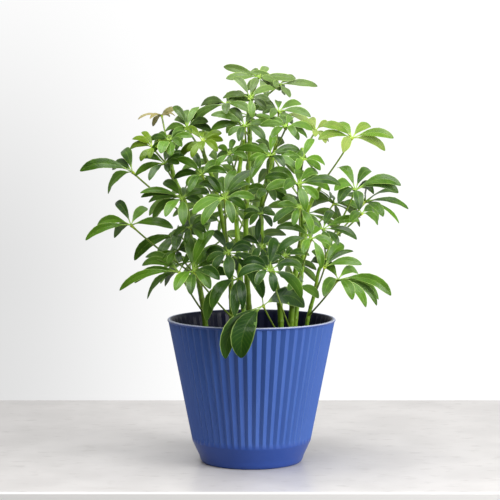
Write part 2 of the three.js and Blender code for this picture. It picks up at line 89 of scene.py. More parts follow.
# Rounded edges, point by point, as (out, up) in millimetres and the pleat, inside and lip weights, the lip
# weight placing a painted pale highlight
FOOT_RING_EDGE = ((0, 0.3, 0, 0, 0), (0.8, 0, 0, 0, 0))
FOOT_EDGE = ((-1.2, 0, 0, 0, 0), (0, 0.35, 0, 0, 0), (1.1, 1.3, 0, 0, 0), (2.2, 3.2, 0, 0, 0),
             (2.9, 5.4, 0, 0, 0))
LIP_FOOT_EDGE = ((-0.5, 0.2, 0.1, 0, 0), (-0.1, 0.6, 0, 0, 0), (0, 1.3, 0, 0, 0))
LIP_OUTER_EDGE = ((0, -1.3, 0, 0, 0.15), (-0.3, -0.5, 0, 0, 1), (-1, 0, 0, 0, 1), (-2, 0, 0, 0.3, 0.8))
LIP_INNER_EDGE = ((1.6, 0, 0, 0.9, 0.2), (0.7, -0.3, 0, 1, 0), (0.2, -1, 0, 1, 0))

POT_BLUE = (64, 97, 169)
POT_BLUE_DEEP = (43, 73, 151)
POT_INSIDE = (14, 16, 38)
# A painted pale highlight on the lit top and edges of the lip, laid on by the lip weight
LIP_PAINTED_HIGHLIGHT = (176, 182, 204)

# How the finish varies. A name in STEP holds a ramp's (low, high, start, end), or its first two, and
# one in RELIEF the (depth, strength) of a bump. The sections below use the same names.
POT_ROUGHNESS = 0.36
FLOW_MARKS = dict(scale=22, stretch=(1, 1, 0.35))
FLOW_STEP = (0.3, 0.7, 0.7, 1)
PLEAT_BLUE_STEP = (0, 1, 0.1, 1)
POT_GLOSS_STEP = (0, 1, 0.28, 0.15)
POT_GRAIN = dict(scale=900, detail=2)
POT_RELIEF = (0.02 * MM, 1)


def linear(colour):
    """A screen colour of three numbers up to 255 as the linear colour that a shader takes."""
    shares = [part / 255 for part in colour]
    return [s / 12.92 if s <= 0.04045 else ((s + 0.055) / 1.055) ** 2.4 for s in shares] + [1]


class Nodes:
    """Writes a node tree as plain formulas, in which most calls add a node and return its output."""

    def __init__(self, tree):
        self.tree = tree

    def feed(self, socket, value):
        if isinstance(value, bpy.types.NodeSocket):
            self.tree.links.new(value, socket)
        elif value is not None:
            socket.default_value = value

    def fed(self, node, **inputs):
        """Feeds a node's inputs by their names, which are written with _ for a space."""
        for name, value in inputs.items():
            self.feed(node.inputs[name.replace("_", " ")], value)
        return node

    def new(self, kind, **inputs):
        """A new node, fed by name."""
        return self.fed(self.tree.nodes.new(kind), **inputs)

    def add(self, kind, *values, out=0, **settings):
        """One output of a new node, fed in the order of its inputs."""
        node = self.new(kind)
        for name, value in settings.items():
            setattr(node, name, value)
        for socket, value in zip([s for s in node.inputs if s.enabled], values):
            self.feed(socket, value)
        return [s for s in node.outputs if s.enabled][out]

    def math(self, operation, *values):
        return self.add("ShaderNodeMath", *values, operation=operation)

    def times(self, *values):
        product = values[0]
        for value in values[1:]:
            product = self.math("MULTIPLY", product, value)
        return product

    def vector(self, operation, *values):
        return self.add("ShaderNodeVectorMath", *values, operation=operation)

    def ramp(self, value, low, high, start=0.0, end=1.0):
        """A smooth step from start to end as the value goes from low to high."""
        return self.add("ShaderNodeMapRange", value, low, high, start, end, interpolation_type="SMOOTHSTEP")

    def mix(self, share, one, two, kind="FLOAT"):
        return self.add("ShaderNodeMix", share, one, two, data_type=kind)

    def blend(self, share, *colours):
        """A mix of two colours, where a plain tuple is a screen colour."""
        return self.mix(share, *[linear(c) if isinstance(c, tuple) else c for c in colours], "RGBA")

    def parts(self, vector):
        return self.new("ShaderNodeSeparateXYZ", Vector=vector).outputs[:]


class GeometryTree(Nodes):
    """A geometry node tree with named inputs."""

    def __init__(self, name):
        super().__init__(bpy.data.node_groups.new(name, "GeometryNodeTree"))
        self.tree.is_modifier = True
        for way in ("INPUT", "OUTPUT"):
            self.tree.interface.new_socket("Geometry", in_out=way, socket_type="NodeSocketGeometry")
        self.start = self.new("NodeGroupInput")
        self.identifiers = {}

    def size(self, name, kind="NodeSocketFloat"):
        item = self.tree.interface.new_socket(name, in_out="INPUT", socket_type=kind)
        self.identifiers[name] = item.identifier
        return self.start.outputs[name]

    def named(self, attribute, kind="FLOAT"):
        return self.add("GeometryNodeInputNamedAttribute", attribute, data_type=kind)

    def end(self, geometry, finish):
        """Ends the tree: its instances are made real and get their finish."""
        whole = self.add("GeometryNodeRealizeInstances", geometry)
        self.new("NodeGroupOutput", Geometry=self.add("GeometryNodeSetMaterial", whole, True, finish))


def mesh_object(name, mesh):
    piece = bpy.data.objects.new(name, mesh)
    bpy.context.scene.collection.objects.link(piece)
    return piece


def grown(name, source, tree, sizes):
    """The plain mesh piece that a geometry node tree makes from a source object."""
    modifier = source.modifiers.new(name, "NODES")
    modifier.node_group = tree.tree
    for label, value in sizes.items():
        modifier[tree.identifiers[label]] = value
    bpy.context.view_layer.update()
    depsgraph = bpy.context.evaluated_depsgraph_get()
    evaluated = source.evaluated_get(depsgraph)
    mesh = bpy.data.meshes.new_from_object(evaluated, preserve_all_data_layers=True, depsgraph=depsgraph)
    source.modifiers.remove(modifier)
    bpy.data.objects.remove(source)
    mesh.name = name
    return mesh_object(name, mesh)


def material_nodes(name, roughness, gloss=0.5):
    """A new material with its roughness and gloss set, its node writer and its shader."""
    material = bpy.data.materials.new(name)
    material.use_nodes = True
    nodes = Nodes(material.node_tree)
    shader = nodes.tree.nodes["Principled BSDF"]
    return material, nodes, nodes.fed(shader, Roughness=roughness, Specular_IOR_Level=gloss)


def bumped(nodes, shader, height, depth, strength):
    """Gives a shader fine relief from a height."""
    bump = nodes.new("ShaderNodeBump", Strength=strength, Distance=depth, Height=height)
    nodes.fed(shader, Normal=bump.outputs[0])


def object_place(nodes):
    return nodes.new("ShaderNodeTexCoord").outputs["Object"]


def noise(nodes, scale, detail=3, stretch=(1, 1, 1)):
    place = nodes.vector("MULTIPLY", object_place(nodes), stretch)
    return nodes.new("ShaderNodeTexNoise", Vector=place, Scale=scale, Detail=detail).outputs[0]


def attribute(nodes, name, out="Fac"):
    node = nodes.new("ShaderNodeAttribute")
    node.attribute_name = name
    return node.outputs[out]


def wall_radius(height):
    share = (height - BAND_TOP) / (LIP_TOP - LIP_HEIGHT - BAND_TOP)
    return BAND_TOP_RADIUS + share * (LIP_RADIUS - WALL_TOP_INSET - BAND_TOP_RADIUS)


def cavity_radius(height):
    share = (height - BAND_TOP) / (LIP_TOP - BAND_TOP)
    return CAVITY_BAND_RADIUS + share * (LIP_RADIUS - LIP_WALL - CAVITY_BAND_RADIUS)


def band_radius(height):
    share = (height - HEEL_HEIGHT) / (BAND_TOP - HEEL_HEIGHT)
    return HEEL_RADIUS + share * (BAND_TOP_RADIUS - HEEL_RADIUS)


def rounded(radius, height, edge):
    """The points of a rounded edge that starts from a radius and a height."""
    return [(radius + out * MM, height + up * MM, *weights) for out, up, *weights in edge]


def pot_outline():
    """The pot's section from the middle of its underside out, up, over the lip and down inside, as
    (radius, height, pleat weight, inside weight, lip weight)."""
    ring = FOOT_RADIUS - FOOT_RING
    outline = [(0, FOOT_RECESS, 0, 0, 0), (ring - FOOT_RECESS_SLOPE, FOOT_RECESS, 0, 0, 0)]
    outline += rounded(ring, 0, FOOT_RING_EDGE) + rounded(FOOT_RADIUS, 0, FOOT_EDGE)
    outline += [(band_radius(height), height, 0, 0, 0) for height in BAND_HEIGHTS]
    for share in PLEAT_END_SHARES:
        height = BAND_TOP + share * PLEAT_END_RUN
        outline.append((wall_radius(height), height, share, 0, 0))
    outline += [(wall_radius(height), height, 1, 0, 0) for height in WALL_HEIGHTS]
    outline += rounded(LIP_RADIUS, LIP_TOP - LIP_HEIGHT, LIP_FOOT_EDGE)
    outline += rounded(LIP_RADIUS, LIP_TOP, LIP_OUTER_EDGE)
    outline += rounded(LIP_RADIUS - LIP_WALL, LIP_TOP, LIP_INNER_EDGE)
    inner = [(LIP_TOP - depth, weight * PLEAT_INNER_SHARE) for depth, weight in CAVITY_PLEATS_START]
    inner += [(height, PLEAT_INNER_SHARE) for height in CAVITY_HEIGHTS]
    outline += [(cavity_radius(height), height, weight, 1, 0) for height, weight in inner]
    outline += [(CAVITY_BAND_RADIUS, BAND_TOP, 0, 1, 0), (CAVITY_FOOT_RADIUS, FLOOR_TOP, 0, 1, 0)]
    return outline + [(0, FLOOR_TOP, 0, 1, 0)]


def lathed(name, outline, angles, labels):
    """A closed turned mesh; each outline point's values after radius and height become attributes."""
    points, faces, values = [], [], []
    starts = []
    columns = len(angles)
    for radius, height, *rest in outline:
        starts.append(len(points))
        for angle in (angles if radius > 0 else angles[:1]):
            points.append((radius * math.cos(angle), radius * math.sin(angle), height))
            values.append(rest)
    for row in range(len(outline) - 1):
        low, high = starts[row], starts[row + 1]
        for i in range(columns):
            near, far = i, (i + 1) % columns
            if outline[row][0] == 0:
                faces.append((low, high + far, high + near))
            elif outline[row + 1][0] == 0:
                faces.append((low + near, low + far, high))
            else:
                faces.append((low + near, low + far, high + far, high + near))
    mesh = bpy.data.meshes.new(name)
    mesh.from_pydata(points, [], faces)
    for place, label in enumerate(labels):
        data = mesh.attributes.new(label, "FLOAT", "POINT").data
        data.foreach_set("value", [row[place] for row in values])
    mesh.shade_smooth()
    return mesh


def pleat_tree():
    """Draws a turned shell in and out in sharp pleats, by each point's pleat weight."""
    tree = GeometryTree("pot pleats")
    count = tree.size("Pleat Count", "NodeSocketInt")
    depth = tree.size("Pleat Depth")
    lit_share = tree.size("Lit Face Share")
    first = tree.size("First Ridge Angle")
    finish = tree.size("Finish", "NodeSocketMaterial")
    x, y, _ = tree.parts(tree.add("GeometryNodeInputPosition"))
    angle = tree.math("SUBTRACT", tree.math("ARCTAN2", y, x), first)
    place = tree.math("FRACT", tree.math("MULTIPLY", angle, tree.math("DIVIDE", count, TURN)))
    falling = tree.math("DIVIDE", place, lit_share)
    rising = tree.math("DIVIDE", tree.math("SUBTRACT", 1, place), tree.math("SUBTRACT", 1, lit_share))
    sunk = tree.math("MINIMUM", falling, rising)
    inward = tree.vector("NORMALIZE", tree.add("ShaderNodeCombineXYZ", x, y, 0))
    reach = tree.times(depth, sunk, tree.named("pleat"), -1)
    offset = tree.vector("SCALE", inward, reach)
    folded = tree.add("GeometryNodeSetPosition", tree.start.outputs["Geometry"], True, None, offset)
    tree.end(folded, finish)
    return tree


def pot_plastic():
    """Satin moulded plastic with faint flow marks, blue outside, deeper where it is plain, and nearly
    black inside, with a painted pale highlight along the top of the lip."""
    material, nodes, shader = material_nodes("pot_plastic", POT_ROUGHNESS)
    flow = nodes.ramp(noise(nodes, **FLOW_MARKS), *FLOW_STEP)
    paler = nodes.times(flow, nodes.ramp(attribute(nodes, "pleat"), *PLEAT_BLUE_STEP))
    inside = attribute(nodes, "inside")
    shell = nodes.blend(inside, nodes.blend(paler, POT_BLUE_DEEP, POT_BLUE), POT_INSIDE)
    # The lip weight lays a painted pale highlight over the lip's top
    nodes.fed(shader, Base_Color=nodes.blend(attribute(nodes, "lip"), shell, LIP_PAINTED_HIGHLIGHT),
              Specular_IOR_Level=nodes.ramp(inside, *POT_GLOSS_STEP))
    bumped(nodes, shader, noise(nodes, **POT_GRAIN), *POT_RELIEF)
    return material


pleat_angles = [PLEAT_FIRST_RIDGE + (pleat + place) / PLEAT_COUNT * TURN
                for pleat in range(PLEAT_COUNT) for place in PLEAT_COLUMNS]
pot_shell = lathed("pot_shell", pot_outline(), pleat_angles, ("pleat", "inside", "lip"))
planter = grown("planter", mesh_object("pot_turned", pot_shell), pleat_tree(), {
    "Pleat Count": PLEAT_COUNT,
    "Pleat Depth": PLEAT_DEPTH,
    "Lit Face Share": PLEAT_LIT_SHARE,
    "First Ridge Angle": PLEAT_FIRST_RIDGE,
    "Finish": pot_plastic(),
})
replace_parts(planter, "pot")
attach(planter, "root")

# Soil
# Dark crumbly potting mix that fills the pot to a little below the lip. It is poured in round the
# canes and pressed down lightly, so its top is uneven and loose crumbs lie on it.
_, SOIL_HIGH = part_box("soil")
SOIL_EDGE_DROP = 3 * MM
SOIL_EDGE_TOP = SOIL_HIGH.z - SOIL_EDGE_DROP
SOIL_EDGE_WEIGHT = 0.3
SOIL_RINGS = 26
SOIL_COLUMNS = 108
SOIL_FLOOR_GAP = 0.4 * MM
SOIL_WALL_GAP = 0.5 * MM
SOIL_SIDE_SINK = 0.9 * MM
SOIL_HUMP = 2.2 * MM
SOIL_HUMP_SCALE = 90
CRUMB_GROUND = 0.9
CRUMB_DENSITY = 42000.0
CRUMB_LEAST = 0.8 * MM
CRUMB_MOST = 2.6 * MM
CRUMB_LEAST_SHAPE = (0.6, 0.6, 0.5)
CRUMB_MOST_SHAPE = (1.2, 1.2, 0.9)
CRUMB_SEED = 7
CRUMB_SIZE_SEED = 3

SOIL_DARK = (22, 17, 13)
SOIL_LIGHT = (58, 43, 32)
SOIL_ROUGHNESS = 0.92
SOIL_GLOSS = 0.25
SOIL_PATCHES = dict(scale=420, detail=6)
SOIL_PATCH_STEP = (0.35, 0.7)
SOIL_GRAIN = dict(scale=1400, detail=5)
SOIL_RELIEF = (0.5 * MM, 0.8)


def soil_outline():
    """The mix's section as (radius, height, top weight)."""
    edge = cavity_radius(SOIL_EDGE_TOP) - PLEAT_DEPTH * PLEAT_INNER_SHARE * 0.5 + SOIL_SIDE_SINK
    outline = [
        (0, FLOOR_TOP + SOIL_FLOOR_GAP, 0),
        (CAVITY_FOOT_RADIUS - SOIL_WALL_GAP, FLOOR_TOP + SOIL_FLOOR_GAP, 0),
        (CAVITY_BAND_RADIUS - SOIL_WALL_GAP, BAND_TOP, 0),
        (edge, SOIL_EDGE_TOP, SOIL_EDGE_WEIGHT),
    ]
    for ring in range(SOIL_RINGS - 1, 0, -1):
        share = ring / SOIL_RINGS
        height = SOIL_EDGE_TOP + (SOIL_HIGH.z - SOIL_EDGE_TOP) * (1 - share ** 2)
        outline.append((edge * share, height, 1))
    outline.append((0, SOIL_HIGH.z, 1))
    return outline


def joined(tree, *parts):
    node = tree.new("GeometryNodeJoinGeometry")
    for part in parts:
        tree.feed(node.inputs[0], part)
    return node.outputs[0]


def soil_tree():
    """Uneven ground with loose crumbs half sunk in it."""
    tree = GeometryTree("potting mix")
    hump = tree.size("Hump Height")
    density = tree.size("Crumb Density")
    least = tree.size("Crumb Least Radius")
    most = tree.size("Crumb Most Radius")
    seed = tree.size("Seed", "NodeSocketInt")
    finish = tree.size("Finish", "NodeSocketMaterial")
    top = tree.named("top")
    humps = tree.new("ShaderNodeTexNoise", Scale=SOIL_HUMP_SCALE).outputs[0]
    lift = tree.times(tree.math("SUBTRACT", humps, 0.5), hump, top, 2)
    offset = tree.add("ShaderNodeCombineXYZ", 0, 0, lift)
    ground = tree.add("GeometryNodeSetPosition", tree.start.outputs["Geometry"], True, None, offset)
    flat = tree.math("GREATER_THAN", top, CRUMB_GROUND)
    scatter = tree.new("GeometryNodeDistributePointsOnFaces", Mesh=ground, Selection=flat,
                       Density=density, Seed=seed)
    ball = tree.add("GeometryNodeMeshIcoSphere", 1.0, 1)
    turned = tree.add("FunctionNodeRandomValue", (0, 0, 0), (TURN, TURN, TURN), data_type="FLOAT_VECTOR")
    shape = tree.add("FunctionNodeRandomValue", CRUMB_LEAST_SHAPE, CRUMB_MOST_SHAPE,
                     data_type="FLOAT_VECTOR")
    size = tree.add("FunctionNodeRandomValue", least, most, None, CRUMB_SIZE_SEED, data_type="FLOAT")
    crumbs = tree.new("GeometryNodeInstanceOnPoints", Points=scatter.outputs["Points"], Instance=ball,
                      Rotation=turned, Scale=tree.vector("SCALE", shape, size))
    tree.end(joined(tree, ground, crumbs.outputs[0]), finish)
    return tree


def potting_mix():
    material, nodes, shader = material_nodes("potting_mix", SOIL_ROUGHNESS, SOIL_GLOSS)
    patches = nodes.ramp(noise(nodes, **SOIL_PATCHES), *SOIL_PATCH_STEP)
    nodes.fed(shader, Base_Color=nodes.blend(patches, SOIL_DARK, SOIL_LIGHT))
    bumped(nodes, shader, noise(nodes, **SOIL_GRAIN), *SOIL_RELIEF)
    return material


soil_angles = [column / SOIL_COLUMNS * TURN for column in range(SOIL_COLUMNS)]
soil_body = lathed("soil_body", soil_outline(), soil_angles, ("top",))
soil = grown("potting_soil", mesh_object("soil_turned", soil_body), soil_tree(), {
    "Hump Height": SOIL_HUMP,
    "Crumb Density": CRUMB_DENSITY,
    "Crumb Least Radius": CRUMB_LEAST,
    "Crumb Most Radius": CRUMB_MOST,
    "Seed": CRUMB_SEED,
    "Finish": potting_mix(),
})
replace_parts(soil, "soil")
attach(soil, "root")

# Canes
# Smooth green upright stems, a little woody low down, with a ring at each old leaf joint. They grew
# from the soil, and thin out to a closed growing tip among the top leaves.
VIEW_DISTANCE = 2189
VIEW_HEIGHT = 424
CANE_FOOT = 100
CANE_FOOT_RADIUS = 3.6
CANE_TIP_RADIUS = 2.3
CANE_SLIM = {"g": 0.72, "f": 0.85}
CANE_SIDES = 12
CANE_STEPS = 260
CANE_TIP_SHARE = 0.985
CANE_TIP_LEAST = 0.02
JOINT_SPACING = 19 * MM
JOINT_WIDTH = 0.2
JOINT_SWELL = 0.13
JOINT_DRIFT = 3
JOINT_DRIFT_SCALE = 14

# Points as [across, up, depth], read on the upright plane through the pot's axis
CANES = {
    "a": [(-55, 163, -8), (-62, 211, -12), (-72, 263, -18), (-78, 306, -22), (-92, 340, -24),
          (-98, 374, -24)],
    "b": [(-23, 163, -28), (-26, 235, -34), (-34, 285, -38), (-44, 330, -40), (-57, 368, -40)],
    "c": [(-2, 163, 10), (-7, 252, 6), (-5, 323, 2), (-2, 382, 0), (-3, 418, 0), (3, 440, 0)],
    "d": [(35, 163, -16), (31, 205, -22), (13, 264, -30), (13, 310, -34), (22, 350, -34), (30, 380, -30)],
    "e": [(47, 163, -38), (54, 238, -48), (61, 280, -52), (57, 318, -52), (58, 352, -46), (60, 374, -40)],
    "f": [(52, 163, 14), (58, 212, 16), (62, 252, 18), (67, 300, 18), (80, 325, 16), (88, 338, 14)],
    "g": [(66, 163, -12), (76, 205, -14), (80, 228, -14), (90, 248, -14), (96, 268, -12)],
    "h": [(-8, 163, 44), (-14, 230, 58), (-18, 300, 70), (-14, 350, 74), (-8, 384, 70)],
}

CANE_GREEN = (106, 150, 26)
CANE_PALE = (150, 188, 46)
CANE_WOODY = (98, 132, 34)
JOINT_OLIVE = (104, 122, 44)
BARK_ROUGHNESS = 0.4
BARK_STREAKS = dict(scale=260, detail=4, stretch=(1, 1, 0.08))
BARK_STREAK_STEP = (0.35, 0.65)
WOODY_STEP = (0.1, 0.4, 0.6, 0)
JOINT_SHARE = 0.4
BARK_GRAIN = dict(scale=500, stretch=(1, 1, 0.15))
BARK_RELIEF = (0.25 * MM, 0.5)


def seen_point(across, up, depth):
    """Where a point read at across and up lies at a given depth along its line of sight."""
    reach = 1 + depth / VIEW_DISTANCE
    return Vector((across * reach, depth, VIEW_HEIGHT + (up - VIEW_HEIGHT) * reach))


def curve_through(points):
    """A smooth curve through points that doesn't overshoot, as a function of a share from 0 to 1."""
    def at(share):
        place = share * (len(points) - 1)
        index = min(int(place), len(points) - 2)
        one, two = points[index], points[index + 1]
        before = points[index - 1] if index > 0 else 2 * one - two
        after = points[index + 2] if index + 2 < len(points) else 2 * two - one
        gaps = [math.sqrt((b - a).length) for a, b in ((before, one), (one, two), (two, after))]
        leave = (one - before) / gaps[0] - (two - before) / (gaps[0] + gaps[1]) + (two - one) / gaps[1]
        arrive = (two - one) / gaps[1] - (after - one) / (gaps[1] + gaps[2]) + (after - two) / gaps[2]
        leave, arrive = leave * gaps[1], arrive * gaps[1]
        t = place - index
        cubic = 2 * one - 2 * two + leave + arrive
        square = 3 * two - 3 * one - 2 * leave - arrive
        return one + leave * t + square * t ** 2 + cubic * t ** 3
    return at


def cane_curve(points):
    foot, *rest = [seen_point(*point) for point in points]
    return curve_through([Vector((foot.x, foot.y, CANE_FOOT)), foot, *rest])


def stem_lines(name, lines):
    """A mesh of open lines; each point is (place in millimetres, radius in millimetres, share)."""
    mesh = bpy.data.meshes.new(name)
    points = [point for line in lines for point in line]
    edges = []
    start = 0
    for line in lines:
        edges += [(start + i, start + i + 1) for i in range(len(line) - 1)]
        start += len(line)
    mesh.from_pydata([place * MM for place, _, _ in points], edges, [])
    for label, column in (("girth", [radius * MM for _, radius, _ in points]),
                          ("along", [share for _, _, share in points])):
        mesh.attributes.new(label, "FLOAT", "POINT").data.foreach_set("value", column)
    return mesh


def tube(tree, line, sides, girth):
    """A closed tube of a given girth along a line."""
    ring = tree.add("GeometryNodeCurvePrimitiveCircle", sides, None, None, None, 1.0)
    node = tree.new("GeometryNodeCurveToMesh", Curve=line, Profile_Curve=ring, Scale=girth, Fill_Caps=True)
    return node.outputs[0]


def off_half(nodes, count):
    """How far a running count is from the half between two whole numbers."""
    return nodes.math("ABSOLUTE", nodes.math("SUBTRACT", nodes.math("FRACT", count), 0.5))


def cane_tree():
    """A round stem along its line, swollen at each joint."""
    tree = GeometryTree("cane")
    sides = tree.size("Sides", "NodeSocketInt")
    spacing = tree.size("Joint Spacing")
    width = tree.size("Joint Width")
    swell = tree.size("Joint Swell")
    finish = tree.size("Finish", "NodeSocketMaterial")
    line = tree.add("GeometryNodeMeshToCurve", tree.start.outputs["Geometry"])
    reach = tree.add("GeometryNodeSplineParameter", out=1)
    drift = tree.new("ShaderNodeTexNoise", Scale=JOINT_DRIFT_SCALE).outputs[0]
    uneven = tree.math("ADD", tree.math("DIVIDE", reach, spacing), tree.times(drift, JOINT_DRIFT))
    joint = tree.ramp(off_half(tree, uneven), 0, width, 1, 0)
    marked = tree.add("GeometryNodeStoreNamedAttribute", line, True, "joint", joint)
    girth = tree.times(tree.named("girth"), tree.math("ADD", 1, tree.times(joint, swell)))
    tree.end(tube(tree, marked, sides, girth), finish)
    return tree


def cane_bark():
    """Smooth green bark, streaked along the stem, woodier low down, with olive joint rings."""
    material, nodes, shader = material_nodes("cane_bark", BARK_ROUGHNESS)
    streaks = nodes.ramp(noise(nodes, **BARK_STREAKS), *BARK_STREAK_STEP)
    green = nodes.blend(streaks, CANE_GREEN, CANE_PALE)
    woody = nodes.blend(nodes.ramp(attribute(nodes, "along"), *WOODY_STEP), green, CANE_WOODY)
    ringed = nodes.blend(nodes.times(attribute(nodes, "joint"), JOINT_SHARE), woody, JOINT_OLIVE)
    nodes.fed(shader, Base_Color=ringed)
    bumped(nodes, shader, noise(nodes, **BARK_GRAIN), *BARK_RELIEF)
    return material


cane_curves = {name: cane_curve(points) for name, points in CANES.items()}
cane_nodes = cane_tree()
bark = cane_bark()
for cane, curve in cane_curves.items():
    stem = []
    for step in range(CANE_STEPS + 1):
        share = step / CANE_STEPS
        radius = CANE_FOOT_RADIUS + (CANE_TIP_RADIUS - CANE_FOOT_RADIUS) * share
        radius *= CANE_SLIM.get(cane, 1)
        past = max(share - CANE_TIP_SHARE, 0) / (1 - CANE_TIP_SHARE)
        stem.append((curve(share), radius * math.sqrt(max(1 - past ** 2, CANE_TIP_LEAST)), share))
    source = mesh_object("cane_line", stem_lines("cane_line", [stem]))
    piece = grown(f"umbrella_cane_{cane}", source, cane_nodes, {
        "Sides": CANE_SIDES,
        "Joint Spacing": JOINT_SPACING,
        "Joint Width": JOINT_WIDTH,
        "Joint Swell": JOINT_SWELL,
        "Finish": bark,
    })
    piece.data.shade_smooth()
    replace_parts(piece, f"cane_{cane}")
    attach(piece, "root")

# Leaves
# Palmate leaves: leathery glossy leaflets, each on a short stalklet, spread like an umbrella from
# the end of a long thin stalk, which clasps its cane. A leaf grew whole, so each is one piece.
STALK_SLOPE = 0.75
STALK_LEAST_RISE = 12
STALK_LOWEST = 152
STALK_TRIES = 80
STALK_FALLBACK_PLACE = 0.3
STALK_BEND_PLACE = 0.55
STALK_SAG = 0.05
STALK_STEPS = 22
STALK_SIDES = 8
STALK_RADIUS = 1.05
STALK_CLASP_RADIUS = 2.3
STALK_CLASP_REACH = 0.14
KNOB_RADIUS = 2.2
KNOB_REACH = 0.05
FORK_PLACE = 0.3
TWIN_SEED = 100

LEAFLET_ASPECT = 0.26
LEAFLET_OWN_SHARE = 0.3
LEAFLET_WIDTH_LEAST = 8.5
LEAFLET_WIDTH_MOST = 17
ARCH = 0.13
BEND_PLACE = 0.58
LEAN = 0.6
DROOP = -0.17
DEPTH_SHARE = 0.75
WIDEST_GAP = 1.35
FILL_SPACING = 1.15
FILL_MOST = 7
FILL_BEHIND = 0.3
FILL_LENGTH = (0.7, 0.15)
RING_LENGTH = (0.82, 0.18)
RING_JITTER = 0.3
LONGEST_ALLOWANCE = 1.05
LONGEST_LEAST = 40
SLIDE_STEP = 4
SLIDE_STEPS = 24
FIT_SLACK = 1.0
FINER_SEED = 500
FINER_GAP = 0.9
FINER_SPACING = 0.72
FINER_LENGTH = (0.5, 0.78)
FINER_SEEN = 0.62
FINER_LOWEST = 238
FINER_WIDEST = 118

